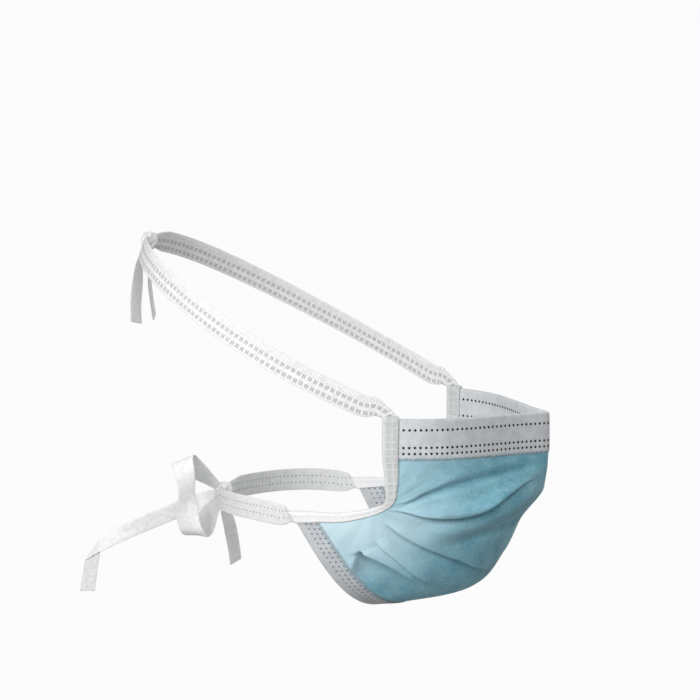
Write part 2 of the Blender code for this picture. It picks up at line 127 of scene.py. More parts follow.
def cup_frame(across, down):
    """Outward normal, direction to the mask's left and direction down the cup."""
    left_side, right_side = np.minimum(across + TINY_STEP, 1), np.maximum(across - TINY_STEP, -1)
    left = cup_point(left_side, down) - cup_point(right_side, down)
    below, above = np.minimum(down + TINY_STEP, 1), np.maximum(down - TINY_STEP, 0)
    lower = cup_point(across, below) - cup_point(across, above)
    return unit(np.cross(lower, left)), unit(left), unit(lower)


print("front of the cup at", cup_point(0.0, 0.5).round(4))

# %% [markdown]
# The pleats of a worn mask open into long folds that run from the gathered side edges to the front.
# A table gives each fold's kind, depth, width and path, as a maker would mark them with chalk.
# Moving the points in code was chosen over a cloth simulation because these folds have to lie
# along marked lines. A fold is a soft ridge, a soft trough, or a lap, whose upper side hangs over
# a sharp edge.

# %% The marked folds
CUP_LENGTH = 0.121
# kind, height in mm, share of it that stands above a lap's edge, width in mm, (fade in, fade out)
# as shares of the way from the side edge to the front, and the path as pairs of such a share and
# a place down the cup
FOLDS = (
    ("trough", 3.2, 0.0, 6.0, (0.12, 0.36),
     ((0.09, 0.44), (0.18, 0.335), (0.35, 0.272), (0.60, 0.225), (0.97, 0.20))),
    ("ridge", 2.4, 1.0, 8.0, (0.20, 0.40),
     ((0.16, 0.45), (0.47, 0.41), (0.65, 0.34), (0.95, 0.25))),
    ("lap", 3.7, 0.58, 5.5, (0.20, 0.40),
     ((0.07, 0.465), (0.20, 0.46), (0.40, 0.455), (0.50, 0.422), (0.62, 0.352), (0.76, 0.302),
      (0.95, 0.265))),
    ("ridge", 2.4, 1.0, 17.0, (0.16, 0.30),
     ((0.28, 0.55), (0.45, 0.55), (0.60, 0.475), (0.80, 0.39), (0.97, 0.34))),
    ("trough", 1.2, 0.0, 7.0, (0.14, 0.12),
     ((0.50, 0.60), (0.75, 0.54), (0.99, 0.50))),
    ("lap", 3.0, 0.55, 6.0, (0.14, 0.26),
     ((0.12, 0.61), (0.31, 0.645), (0.48, 0.662), (0.64, 0.675), (0.97, 0.72))),
    ("lap", 1.8, 0.50, 5.0, (0.06, 0.14),
     ((0.20, 0.735), (0.32, 0.747), (0.43, 0.765), (0.66, 0.80))),
    ("lap", 3.0, 0.35, 8.0, (0.020, 0.24),
     ((0.225, 0.83), (0.245, 0.81), (0.27, 0.80), (0.33, 0.79), (0.42, 0.79), (0.66, 0.82))),
)
# A lap's form, in widths of the fold: how far it reaches above and under its edge, the share of
# its height that the edge drops and how sharply, the hollow under the edge, and the slip
LAP_REACH_ABOVE, LAP_REACH_UNDER, LAP_DROP, LAP_SHARPNESS = 0.95, 0.90, 0.40, 14.0
LAP_HOLLOW, LAP_HOLLOW_REACH, LAP_SLIP, LAP_SLIP_REACH = 0.6, 0.55, 0.16, 0.22
# Where the bindings, the bands and the middle of the front hold the cloth: each pair is where a
# fold has no height yet and where it has all of it
HELD_BY_SIDE, HELD_BY_NOSE_BAND, HELD_BY_CHIN_BAND = (0.04, 0.12), (0.135, 0.18), (0.915, 0.85)
HELD_BY_MIDDLE_LEFT, HELD_BY_MIDDLE_RIGHT = (0.96, 0.78), (1.0, 0.90)
print("folds in the table:", [fold[0] for fold in FOLDS])

# %% [markdown]
# Seen in section, a ridge and a trough are bell curves, and a lap is half a bell that breaks off at
# a steep step. Cloth hangs over that step, so the points near it are also slipped down the cup.

# %% The form of one fold
# a fold's path is the mean of itself and of copies shifted by these shares of half a section
PATH_SHIFTS = np.linspace(-0.05, 0.05, 7)


def eased(where, start, end):
    """Goes gently from 0 at start to 1 at end, whichever of the two is larger."""
    share = np.clip((where - start) / (end - start), 0, 1)
    return share * share * (3 - 2 * share)


def fold_line(inset, path):
    """Place down the cup of a fold's line, rounded a little where its path bends."""
    insets, downs = zip(*path)
    return sum(np.interp(inset + shift, insets, downs) for shift in PATH_SHIFTS) / len(PATH_SHIFTS)


def fold_shape(kind, above, away):
    """Height and slip of a fold of height one at a distance of so many of its widths."""
    if kind == "lap":
        near = np.exp(-((away / np.where(away < 0, LAP_REACH_ABOVE, LAP_REACH_UNDER)) ** 2))
        edge = np.tanh(LAP_SHARPNESS * away)
        sink = -LAP_HOLLOW * np.maximum(away, 0) * np.exp(-((away / LAP_HOLLOW_REACH) ** 2))
        slip = -LAP_SLIP * edge * np.exp(-((away / LAP_SLIP_REACH) ** 2))
        return (above - LAP_DROP * (1 + edge)) * near + sink, slip
    shape = np.exp(-((2 * away) ** 2))
    return (shape if kind == "ridge" else -shape), 0 * away


print("a lap beside its edge:", fold_shape("lap", 0.5, np.array((-0.5, 0.0, 0.5)))[0].round(2))

# %% [markdown]
# The lowest pleat doesn't run out like the others: its end stands off as a flat facet. Its edge is
# a short path of its own, and the cloth falls away from that edge and dips under the pleat.

# %% The facet at the end of the lowest pleat
# The facet's side edge, as (down, inset), how far it falls and how far from that edge it is
# deepest, the ridge along the edge, and the dip under the pleat and how far down it is deepest,
# all in mm, where it comes up under the pleat and the dip beside that edge, also in mm, and last
# where it fades out towards its three neighbours
FACET_SIDE = ((0.80, 0.19), (0.835, 0.228), (0.886, 0.293), (0.915, 0.336), (0.93, 0.443))
FACET_FALL, FACET_REACH, FACET_RIDGE, FACET_RIDGE_WIDTH = 2.8, 8.5, 0.5, 2.5
FACET_DIP, FACET_DIP_REACH = 1.8, 4.0
FACET_COMES, FACET_DIP_COMES = (-0.4, 0.6), (-1.0, 3.0)
FACET_NEAR_SIDE, FACET_NEAR_MIDDLE, FACET_NEAR_BAND = (0.20, 0.25), (0.80, 0.55), (0.922, 0.895)
HALF_SECTION = 0.086


def facet_height(inset, down):
    """The flat facet under the edge of the lowest pleat."""
    path = FOLDS[-1][-1]
    below = (down - fold_line(inset, path)) * CUP_LENGTH * 1000
    under = eased(below, *FACET_COMES)
    depth = np.maximum(below, 0) / FACET_DIP_REACH
    away = (inset - np.interp(down, *zip(*FACET_SIDE))) * HALF_SECTION * 1000
    share = np.maximum(away, 0) / FACET_REACH
    fall = FACET_FALL * share * np.exp(1 - share)
    fall = fall + FACET_DIP * depth * np.exp(1 - depth) * eased(away, *FACET_DIP_COMES)
    ridge = FACET_RIDGE * np.exp(-np.abs(away) / FACET_RIDGE_WIDTH)
    free = eased(inset, *FACET_NEAR_SIDE) * eased(inset, *FACET_NEAR_MIDDLE) * eased(down, *FACET_NEAR_BAND)
    return (ridge - fall) / 1000 * under * free


print("facet at its deepest in mm:", round(1000 * float(facet_height(0.40, 0.88)), 2))

# %% [markdown]
# All folds are added up over the cup. Nothing may move where the tapes and bands grip the cloth, so
# the sum fades out there, and it is calmed where the folds of both sides meet in the middle.

# %% All folds together
def fold_height(across, down):
    """How far the marked folds raise the cloth, and how far a lap slips it down over itself."""
    inset = 1 - np.abs(across)
    free = eased(inset, *HELD_BY_SIDE) * eased(down, *HELD_BY_NOSE_BAND) * eased(down, *HELD_BY_CHIN_BAND)
    middle_left, middle_right = eased(inset, *HELD_BY_MIDDLE_LEFT), eased(inset, *HELD_BY_MIDDLE_RIGHT)
    free = free * np.where(np.asarray(across) > 0, middle_left, middle_right)
    height, slip = 0.0, 0.0
    for kind, tall, above, wide, (fade_in, fade_out), path in FOLDS:
        away = (down - fold_line(inset, path)) * CUP_LENGTH * 1000 / wide
        first, last = path[0][0], path[-1][0]
        here = eased(inset, first, first + fade_in) * eased(inset, last, last - fade_out)
        up, over = fold_shape(kind, above, away)
        height = height + tall / 1000 * here * up
        slip = slip + wide / 1000 * here * over
    return height * free + facet_height(inset, down), slip * free


fold_heights = fold_height(np.linspace(-1, 0, 99)[:, None], np.linspace(0, 1, 199))[0] * 1000
print("folds from", fold_heights.min().round(2), "to", fold_heights.max().round(2), "mm")

# %% [markdown]
# Small wrinkles fan out from the gathers and fade towards the front, and soft dents lie between
# them. Nobody marks those with chalk, so noise makes them. It is read by the angle and the distance
# from a point beyond the side edge, which draws it out into rays.

# %% The small wrinkles
def noise_at(*places):
    """Smooth noise at many points, from minus one to one."""
    points = np.stack(places, -1)
    values = np.array([noise.noise(Vector(point)) for point in points.reshape(-1, 3)])
    return values.reshape(points.shape[:-1])


# where the fan starts and how its wrinkles fade from there, and heights in metres of the wide and
# the fine wrinkles and of the soft dents
FAN_BEYOND, FAN_DOWN, FAN_FADE, FAN_HELD = 0.10, 0.46, 0.45, 0.1
WIDE_WRINKLE, FINE_WRINKLE, SOFT_DENT = 0.00048, 0.00022, 0.00040
# how fast their noise changes, by angle and distance or across and down, and where it is read
WIDE_SCALE, FINE_SCALE, DENT_SCALE = (7.0, 2.2), (16.0, 5.0), (4.2, 5.5)
RIGHT_SEED, LEFT_SEED, FINE_SEED, DENT_SEED = 3.0, 11.0, 5, 1.7
# where they come up from the side edge, where the bands let go of them, and what a band leaves
FROM_SIDE, FROM_NOSE_BAND, FROM_CHIN_BAND, LEFT_ON_BAND = (0.02, 0.10), (0.12, 0.20), (0.95, 0.88), 0.25


def wrinkle_height(across, down):
    """Small wrinkles that fan out from the gathered side edge, and soft dents."""
    a, d = np.broadcast_arrays(np.asarray(across, float), np.asarray(down, float))
    side = np.where(a < 0, RIGHT_SEED, LEFT_SEED)
    out, fall = 1 - np.abs(a) + FAN_BEYOND, d - FAN_DOWN
    reach, turn = np.hypot(out, fall), np.arctan2(fall, out)
    fade = np.minimum(1.0, FAN_FADE / (reach + FAN_HELD))
    wide = noise_at(turn * WIDE_SCALE[0], reach * WIDE_SCALE[1], side)
    fine = noise_at(turn * FINE_SCALE[0], reach * FINE_SCALE[1], side + FINE_SEED)
    soft = noise_at(a * DENT_SCALE[0], d * DENT_SCALE[1], DENT_SEED + 0 * a)
    heights = WIDE_WRINKLE * wide * fade + FINE_WRINKLE * fine * fade + SOFT_DENT * soft
    inset = 1 - np.abs(across)
    on_band = (1 - LEFT_ON_BAND) * eased(down, *FROM_NOSE_BAND) * eased(down, *FROM_CHIN_BAND)
    return heights * eased(inset, *FROM_SIDE) * (LEFT_ON_BAND + on_band)


def sheet_point(across, down, lift=0.0, below=0.0, beyond=0.0, wrinkles=False):
    """A point of the folded cloth, lifted off its outer face or carried past one of its edges."""
    normal, left, lower = cup_frame(across, down)
    height, slip = fold_height(across, down)
    lift = np.asarray(lift + height + (wrinkle_height(across, down) if wrinkles else 0.0))
    below = below + slip
    outwards = np.where(np.asarray(across, float)[..., None] > 0, left, -left)
    return (
        cup_point(across, down)
        + lift[..., None] * normal
        + np.asarray(below, float)[..., None] * lower
        + np.asarray(beyond, float)[..., None] * outwards
    )


wrinkles = wrinkle_height(np.linspace(-1, 0, 99)[:, None], np.linspace(0, 1, 199)) * 1000
print("wrinkles from", wrinkles.min().round(2), "to", wrinkles.max().round(2), "mm")

# %% [markdown]
# Cloth on screen is a thin wall with two faces. One builder makes every wall here: it takes cross
# sections that run along the outer face and back along the inner one, and joins each section to
# the next. A map of true lengths in millimetres is kept with it, so that weld marks can be drawn
# at their real size on any piece. Solidify would be the usual tool, but it can't fold round an edge.

# %% Build a wall of cloth
def add_to_scene(name, data):
    """An object in the scene for a mesh, a lamp or a lens."""
    thing = bpy.data.objects.new(name, data)
    bpy.context.scene.collection.objects.link(thing)
    return thing


def there_and_back(outer, inner):
    """Closed sections out of an outer and an inner face."""
    return np.concatenate((outer, inner[:, ::-1]), 1)


def cloth_wall(name, sections, lengths, cloths):
    """A closed wall through sections. lengths holds (along, across) in mm for each point.

    Of two cloths, the first is on the outer half of each section and the second on the inner one.
    """
    sections, lengths = np.asarray(sections), np.asarray(lengths)
    steps, count = sections.shape[:2]
    index = np.arange(steps * count).reshape(steps, count)
    after = np.roll(index, -1, axis=1)
    quads = np.stack((index[:-1], after[:-1], after[1:], index[1:]), -1).reshape(-1, 4)
    half = count // 2
    caps = [
        (ring[place], ring[place + 1], ring[count - place - 2], ring[count - place - 1])
        for ring in (index[0], index[-1])
        for place in range(half - 1)
    ]
    faces = np.concatenate((quads, caps))
    mesh = bpy.data.meshes.new(name)
    mesh.from_pydata(sections.reshape(-1, 3).tolist(), [], faces.tolist())
    inner = np.tile(np.arange(count) >= half, steps - 1)
    inner = np.concatenate((inner, np.zeros(len(caps), bool)))
    for cloth in cloths:
        mesh.materials.append(cloth)
    mesh.polygons.foreach_set("material_index", (inner & (len(cloths) > 1)).astype(np.int32))
    layer = mesh.uv_layers.new(name="lengths")
    corners = np.empty(len(mesh.loops), np.int32)
    mesh.loops.foreach_get("vertex_index", corners)
    layer.data.foreach_set("uv", lengths.reshape(-1, 2)[corners].astype(np.float32).ravel())
    bm = bmesh.new()
    bm.from_mesh(mesh)
    bmesh.ops.recalc_face_normals(bm, faces=bm.faces)
    bm.to_mesh(mesh)
    bm.free()
    mesh.shade_smooth()
    print(name, "has", len(faces) * 2, "triangles")
    return add_to_scene(name, mesh)


def stand_in(piece, node):
    """Says which solid a piece stands for, by hiding that solid, and what the piece moves with."""
    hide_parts(node)
    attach(piece, "root")


def length_along(points):
    """Length in mm from the first point to each point of a line."""
    gaps = np.linalg.norm(np.diff(points, axis=0), axis=-1)
    return np.concatenate(([0.0], np.cumsum(gaps))) * 1000


middle_line = cup_point(0.0, np.linspace(0, 1, 99))
print("down the middle the cup measures", length_along(middle_line)[-1].round(1), "mm")

# %% [markdown]
# The finishes are built from many small nodes. Placing and linking each by hand is the usual way;
# here a few helpers do it, so that a finish reads as a short recipe. A group made with the last one
# has named inputs and outputs, and can be placed in any material with its own values.

# %% Small steps in a shader
def socket_or_value(tree, socket, value):
    """Feeds a socket with another node's output or with a plain value."""
    if hasattr(value, "is_output"):
        tree.links.new(value, socket)
    else:
        socket.default_value = value


def calc(tree, operation, *values):
    """One step of arithmetic in a shader."""
    node = tree.nodes.new("ShaderNodeMath")
    node.operation = operation
    for socket, value in zip(node.inputs, values):
        socket_or_value(tree, socket, value)
    return node.outputs["Value"]


def ramp(tree, value, start, end, low=0.0, high=1.0):
    """Goes gently from low at start to high at end."""
    node = tree.nodes.new("ShaderNodeMapRange")
    node.interpolation_type = "SMOOTHSTEP"
    names = ("Value", "From Min", "From Max", "To Min", "To Max")
    for name, amount in zip(names, (value, start, end, low, high)):
        socket_or_value(tree, node.inputs[name], amount)
    return node.outputs["Result"]


def new_group(name, takes, gives):
    """A node group with named inputs, each (name, kind, value), and named outputs."""
    group = bpy.data.node_groups.new(name, "ShaderNodeTree")
    for label, kind, value in takes:
        socket = group.interface.new_socket(label, in_out="INPUT", socket_type=f"NodeSocket{kind}")
        if value is not None:
            socket.default_value = value
    for label in gives:
        group.interface.new_socket(label, in_out="OUTPUT", socket_type="NodeSocketFloat")
    return group, group.nodes.new("NodeGroupInput").outputs, group.nodes.new("NodeGroupOutput").inputs


def noise_in(tree, place, scale, detail):
    """Blender's noise at a place."""
    node = tree.nodes.new("ShaderNodeTexNoise")
    node.inputs["Detail"].default_value = detail
    tree.links.new(place, node.inputs["Vector"])
    socket_or_value(tree, node.inputs["Scale"], scale)
    return node.outputs["Fac"]


print("helpers:", [step.__name__ for step in (calc, ramp, noise_in, new_group)])

# %% [markdown]
# Spunbond is a felt of very fine plastic threads, thrown down at random and melted together in
# spots. From arm's length it shows soft clouds where the threads lie thick or thin, and a fine
# hairy grain. Both are worked out from noise on the map of lengths, so they keep their real size.
# Several finishes need them, so they are built once as a node group. Noise that is stretched along
# three directions makes the threads.

# %% A group for the fibres
THREAD_TURNS = (0.25, 1.15, 2.20)
fibres, takes, gives = new_group(
    "spunbond fibres",
    (
        ("Lengths", "Vector", None),
        ("Cloud Size", "Float", 6.0),
        ("Thread Length", "Float", 5.0),
        ("Thread Width", "Float", 0.35),
    ),
    ("Cloud", "Threads", "Height"),
)
cloud = noise_in(fibres, takes["Lengths"], calc(fibres, "DIVIDE", 1.0, takes["Cloud Size"]), 4.0)
fibres.links.new(ramp(fibres, cloud, 0.33, 0.67), gives["Cloud"])
layers = []
for turn in THREAD_TURNS:
    turned = fibres.nodes.new("ShaderNodeVectorRotate")
    turned.rotation_type = "Z_AXIS"
    turned.inputs["Angle"].default_value = turn
    fibres.links.new(takes["Lengths"], turned.inputs["Vector"])
    stretch = fibres.nodes.new("ShaderNodeCombineXYZ")
    fibres.links.new(calc(fibres, "DIVIDE", 1.0, takes["Thread Length"]), stretch.inputs["X"])
    fibres.links.new(calc(fibres, "DIVIDE", 1.0, takes["Thread Width"]), stretch.inputs["Y"])
    stretched = fibres.nodes.new("ShaderNodeVectorMath")
    stretched.operation = "MULTIPLY"
    fibres.links.new(turned.outputs["Vector"], stretched.inputs[0])
    fibres.links.new(stretch.outputs["Vector"], stretched.inputs[1])
    layers.append(noise_in(fibres, stretched.outputs["Vector"], 1.0, 1.0))
threads = calc(fibres, "MAXIMUM", calc(fibres, "MAXIMUM", layers[0], layers[1]), layers[2])
threads = ramp(fibres, threads, 0.50, 0.76)
fibres.links.new(threads, gives["Threads"])
height = calc(fibres, "MULTIPLY_ADD", threads, 0.7, calc(fibres, "MULTIPLY", cloud, 0.3))
fibres.links.new(height, gives["Height"])
print("groups so far:", [group.name for group in bpy.data.node_groups])

# %% [markdown]
# Nothing on this mask is sewn. Heated pins and bars weld the plies together and leave rows of dots
# and rows of small barred cells. Their places are known in millimetres along and across a band or
# tape, so a group can draw each row exactly, next to the dents that the meshes have there.

# %% Groups for the weld marks
def in_row(tree, lengths, pitch, row):
    """Distances in mm from the middle of the nearest mark, along and across the row."""
    parts = tree.nodes.new("ShaderNodeSeparateXYZ")
    tree.links.new(lengths, parts.inputs["Vector"])
    turn = calc(tree, "FRACT", calc(tree, "DIVIDE", calc(tree, "ABSOLUTE", parts.outputs["X"]), pitch))
    along = calc(tree, "ABSOLUTE", calc(tree, "MULTIPLY", calc(tree, "SUBTRACT", turn, 0.5), pitch))
    return along, calc(tree, "ABSOLUTE", calc(tree, "SUBTRACT", parts.outputs["Y"], row))


mark_inputs = (("Lengths", "Vector", None), ("Pitch", "Float", 2.5), ("Row", "Float", 0.0))
dots, takes, gives = new_group("weld dots", mark_inputs + (("Radius", "Float", 0.3),), ("Mark",))
along, across = in_row(dots, takes["Lengths"], takes["Pitch"], takes["Row"])
squares = calc(dots, "ADD", calc(dots, "POWER", along, 2.0), calc(dots, "POWER", across, 2.0))
away = calc(dots, "DIVIDE", calc(dots, "SQRT", squares), takes["Radius"])
dots.links.new(ramp(dots, away, 1.25, 0.75), gives["Mark"])

cell_inputs = mark_inputs + (("Cell Length", "Float", 2.0), ("Cell Width", "Float", 2.0))
cells, takes, gives = new_group("weld cells", cell_inputs, ("Cell", "Bars"))
along, across = in_row(cells, takes["Lengths"], takes["Pitch"], takes["Row"])
share_along = calc(cells, "DIVIDE", along, takes["Cell Length"])
share_across = calc(cells, "DIVIDE", across, takes["Cell Width"])
cell = calc(cells, "MULTIPLY", ramp(cells, share_along, 0.56, 0.44), ramp(cells, share_across, 0.56, 0.44))
cells.links.new(cell, gives["Cell"])
off_bar = calc(cells, "ABSOLUTE", calc(cells, "SUBTRACT", share_along, 0.30))
cells.links.new(calc(cells, "MULTIPLY", cell, ramp(cells, off_bar, 0.22, 0.10)), gives["Bars"])
print("groups so far:", [group.name for group in bpy.data.node_groups])

# %% [markdown]
# Each cloth is one Principled BSDF: rough, not metallic, and a little see-through to light, as thin
# felt is. The groups vary its colour, its roughness and its height; the even numbers are set on
# the shader itself. A small class keeps the shader and the map of lengths together while a cloth
# is being made, so that each recipe below is a few lines.

# %% A cloth under way
def paint(red, green, blue):
    """A colour given as it looks on screen, from 0 to 255, for the shader."""
    return tuple(((c / 255 + 0.055) / 1.055) ** 2.4 for c in (red, green, blue)) + (1.0,)


def toned(share, *colour):
    """A paint made darker or lighter by a share."""
    return paint(*(min(255.0, channel * share) for channel in colour))


class Cloth:
    """A material under way, with the map of lengths at hand."""

    def __init__(self, name, glow=0.0, sheen=0.0):
        self.material = bpy.data.materials.new(name)
        self.material.use_nodes = True
        self.tree = self.material.node_tree
        self.shader = self.tree.nodes["Principled BSDF"]
        self.shader.inputs["Subsurface Weight"].default_value = glow
        self.shader.inputs["Subsurface Radius"].default_value = (1.0, 1.0, 1.0)
        self.shader.inputs["Subsurface Scale"].default_value = 0.0015
        self.shader.inputs["Sheen Weight"].default_value = sheen
        self.shader.inputs["Sheen Roughness"].default_value = 0.6
        self.shader.inputs["Specular IOR Level"].default_value = 0.25
        lengths = self.tree.nodes.new("ShaderNodeUVMap")
        lengths.uv_map = "lengths"
        self.lengths = lengths.outputs["UV"]

    def place(self, group, **values):
        """Places a group with its own values. Names use _ for a space."""
        node = self.tree.nodes.new("ShaderNodeGroup")
        node.node_tree = group
        self.tree.links.new(self.lengths, node.inputs["Lengths"])
        for name, value in values.items():
            node.inputs[name.replace("_", " ")].default_value = value
        return node.outputs

    def calc(self, operation, *values):
        return calc(self.tree, operation, *values)

    def ramp(self, *values):
        return ramp(self.tree, *values)

    def mix(self, share, first, second):
        """A colour that goes from the first to the second as the share goes from 0 to 1."""
        node = self.tree.nodes.new("ShaderNodeMix")
        node.data_type = "RGBA"
        socket_or_value(self.tree, node.inputs[0], share)
        socket_or_value(self.tree, node.inputs[6], first)
        socket_or_value(self.tree, node.inputs[7], second)
        return node.outputs[2]

    def along_and_across(self):
        """The two lengths in mm that the mesh keeps for each point."""
        parts = self.tree.nodes.new("ShaderNodeSeparateXYZ")
        self.tree.links.new(self.lengths, parts.inputs["Vector"])
        return parts.outputs["X"], parts.outputs["Y"]

    def finish(self, colour, roughness, height):
        """Joins the colour, roughness and height to the shader and gives the material."""
        bump = self.tree.nodes.new("ShaderNodeBump")
        bump.inputs["Strength"].default_value = 0.4
        bump.inputs["Distance"].default_value = 0.00005
        self.tree.links.new(height, bump.inputs["Height"])
        self.tree.links.new(bump.outputs["Normal"], self.shader.inputs["Normal"])
        self.tree.links.new(colour, self.shader.inputs["Base Color"])
        socket_or_value(self.tree, self.shader.inputs["Roughness"], roughness)
        print("finished", self.material.name, "with", len(self.tree.nodes), "nodes")
        return self.material

# %% [markdown]
# The outer ply is dyed blue and the inner one is left white. The blue is painted paler towards the gathered
# side edges, and most of all low down. This is painted light, for the light that falls on the cloth there
# from the left and from below.

# %% The cloths of the cup
def blue_spunbond():
    """Blue cloth with painted light: paler towards the gathered side edge, and most of all low down."""
    cloth = Cloth("blue_spunbond", glow=0.15, sheen=0.15)
    felt = cloth.place(fibres, Cloud_Size=9.0, Thread_Length=4.0, Thread_Width=0.45)
    colour = cloth.mix(felt["Cloud"], paint(92, 158, 178), paint(116, 178, 194))
    colour = cloth.mix(cloth.calc("MULTIPLY", felt["Threads"], 0.36), colour, paint(190, 220, 230))
    along, down = cloth.along_and_across()
    # painted light: the blue is mixed towards a pale tint near the side edge, most of all low down
    near_side = cloth.ramp(cloth.calc("ABSOLUTE", along), 30.0, 88.0, 0.0, 0.95)
    painted_light = cloth.calc("MULTIPLY", near_side, cloth.ramp(down, 30.0, 62.0, 0.42, 1.0))
    colour = cloth.mix(painted_light, colour, paint(207, 230, 238))
    return cloth.finish(colour, 0.8, felt["Height"])


def plain_white():
    """The cloth inside, without weld marks."""
    cloth = Cloth("white_spunbond", glow=0.2)
    felt = cloth.place(fibres, Cloud_Size=8.0, Thread_Length=4.0, Thread_Width=0.45)
    colour = cloth.mix(felt["Cloud"], paint(196, 200, 204), paint(210, 213, 217))
    colour = cloth.mix(cloth.calc("MULTIPLY", felt["Threads"], 0.3), colour, paint(226, 228, 231))
    return cloth.finish(colour, 0.85, felt["Height"])


blue_cloth = blue_spunbond()
white_cloth = plain_white()

# %% [markdown]
# The bands are white felt with three rows of weld dots, where the plies were pressed into a clear film. The
# dots are real, but their dark colour is painted shade, for the shadow in their dents and the shaded cloth
# behind the film. Their free edge is torn rather than cut: it thins out and lets the blue shine through, so
# the fibres make the cloth see-through there.

# %% The cloths of the bands
# in mm, but for the widths of the bands and how deep a dot is, which are in metres
DOT_PITCH, DOT_REACH = 2.5, 0.28
NOSE_BAND, CHIN_BAND, DOT_DENT = 0.0172, 0.0105, 0.00030
NOSE_ROWS, CHIN_ROWS = (3.8, 11.4, 14.0), (3.6, 6.2, 8.6)


def band_cloth(name, tone, rows, edge, soft, mark_colour, radius):
    """White cloth with rows of weld dots and a ragged edge at so many mm, which is so many mm soft."""
    cloth = Cloth(name, glow=0.15)
    felt = cloth.place(fibres, Cloud_Size=5.0, Thread_Length=2.5, Thread_Width=0.40)
    colour = cloth.mix(felt["Cloud"], toned(tone, 214, 218, 222), toned(tone, 230, 233, 236))
    colour = cloth.mix(cloth.calc("MULTIPLY", felt["Threads"], 0.4), colour, toned(tone, 244, 245, 247))
    width = cloth.along_and_across()[1]
    thin = cloth.ramp(width, edge - 1.6 - soft, edge - soft)
    colour = cloth.mix(cloth.calc("MULTIPLY", thin, 0.55), colour, paint(186, 206, 216))
    marks = 0.0
    for row in rows:
        mark = cloth.place(dots, Pitch=DOT_PITCH, Row=row, Radius=radius)["Mark"]
        marks = cloth.calc("MAXIMUM", marks, mark)
    # painted shade: the dots take a dark colour for the shadow in their dents and the shade behind their
    # clear film
    colour = cloth.mix(marks, colour, mark_colour)
    ragged = cloth.calc("MULTIPLY_ADD", felt["Threads"], 1.1, edge - soft)
    ragged = cloth.calc("SUBTRACT", ragged, width)
    cloth.tree.links.new(cloth.ramp(ragged, -soft, soft), cloth.shader.inputs["Alpha"])
    return cloth.finish(colour, cloth.calc("MULTIPLY_ADD", marks, -0.4, 0.85), felt["Height"])


nose_cloth = band_cloth(
    "nose_band_spunbond", 0.94, NOSE_ROWS, NOSE_BAND * 1000, 0.9, paint(12, 13, 16), radius=0.57
)
# the chin band is the same felt as the nose band, toned darker: painted shade
chin_cloth = band_cloth(
    "chin_band_spunbond", 0.87, CHIN_ROWS, CHIN_BAND * 1000, 1.2, paint(84, 112, 134), radius=0.44
)

# %% [markdown]
# Tape is a narrower felt that is pressed harder. The welding wheel leaves barred cells or fine dots along it:
# strong ones on the binding and the ties, and hardly any on the free ends. The back of the free ends is
# painted a little greyer than their face, which is painted shade.

# %% The cloths of the tapes
CELL_PITCH, PIN_PITCH = 3.0, 1.3
BINDING_ROWS = (2.0, 4.6)


def tape_felt(cloth, tone):
    """The fibres that all tapes share, and their colour."""
    felt = cloth.place(fibres, Cloud_Size=2.2, Thread_Length=2.0, Thread_Width=0.35)
    colour = cloth.mix(felt["Cloud"], toned(tone, 224, 225, 226), toned(tone, 238, 239, 239))
    return felt, cloth.mix(cloth.calc("MULTIPLY", felt["Threads"], 0.35), colour, toned(tone, 248, 248, 248))


def binding_cloth():
    """Tape with two rows of embossed cells, which are plainest in its upper half, and a row of pins."""
    cloth = Cloth("binding_tape", glow=0.3)
    felt, colour = tape_felt(cloth, 0.92)
    along = cloth.along_and_across()[0]
    # painted light: the binding's lower half is mixed towards near white, where the light falls strongest on
    # it
    colour = cloth.mix(cloth.ramp(along, 34.0, 44.0, 0.0, 0.9), colour, paint(250, 250, 251))
    marks = 0.0
    for row, size in zip(BINDING_ROWS, (2.2, 1.8)):
        cell = cloth.place(cells, Pitch=CELL_PITCH, Row=row, Cell_Length=2.4, Cell_Width=size)
        marks = cloth.calc("MAXIMUM", marks, cell["Cell"])
    marks = cloth.calc("MULTIPLY", marks, cloth.ramp(along, 37.0, 29.0, 0.12, 0.70))
    marks = cloth.calc("MULTIPLY", marks, cloth.calc("MULTIPLY_ADD", felt["Cloud"], 0.5, 0.5))
    colour = cloth.mix(marks, colour, paint(186, 190, 191))
    pins = cloth.place(dots, Pitch=PIN_PITCH, Row=6.4, Radius=0.28)["Mark"]
    colour = cloth.mix(cloth.calc("MULTIPLY", pins, 0.5), colour, paint(170, 178, 184))
    return cloth.finish(colour, 0.8, felt["Height"])


def tie_cloth(name, tone, bars, pins, mark_colour, pin_colour):
    """Tape with rows of barred cells, each (row, share), and of dots, each (row, share, pitch, radius)."""
    cloth = Cloth(name, glow=0.5)
    felt, colour = tape_felt(cloth, tone)
    for row, share in bars:
        cell = cloth.place(cells, Pitch=2.7, Row=row, Cell_Length=1.7, Cell_Width=1.8)
        mark = cloth.calc("MULTIPLY", cell["Cell"], 0.26 * share)
        mark = cloth.calc("MULTIPLY_ADD", cell["Bars"], 0.30 * share, mark)
        colour = cloth.mix(mark, colour, mark_colour)
    for row, share, pitch, radius in pins:
        mark = cloth.place(dots, Pitch=pitch, Row=row, Radius=radius)["Mark"]
        colour = cloth.mix(cloth.calc("MULTIPLY", mark, share), colour, pin_colour)
    return cloth.finish(colour, 0.8, felt["Height"])


UPPER_PINS = tuple((row, share, PIN_PITCH, 0.22) for row, share in ((2.2, 0.5), (3.1, 0.5), (4.0, 0.4)))
LOWER_PINS = tuple((row, 0.9, 2.0, 0.30) for row in (1.7, -1.4))
RIBBON_PINS = ((2.6, 0.12, PIN_PITCH, 0.25),)
GREY, PIN_GREY = paint(120, 120, 120), paint(150, 150, 150)
LOWER_GREY, PALE_GREY = paint(110, 112, 118), paint(170, 172, 176)
edge_cloth = binding_cloth()
upper_cloth = tie_cloth("upper_tie_tape", 0.98, ((-2.9, 1.0), (0.5, 1.0)), UPPER_PINS, GREY, PIN_GREY)
lower_cloth = tie_cloth("lower_tie_tape", 0.93, (), LOWER_PINS, GREY, LOWER_GREY)
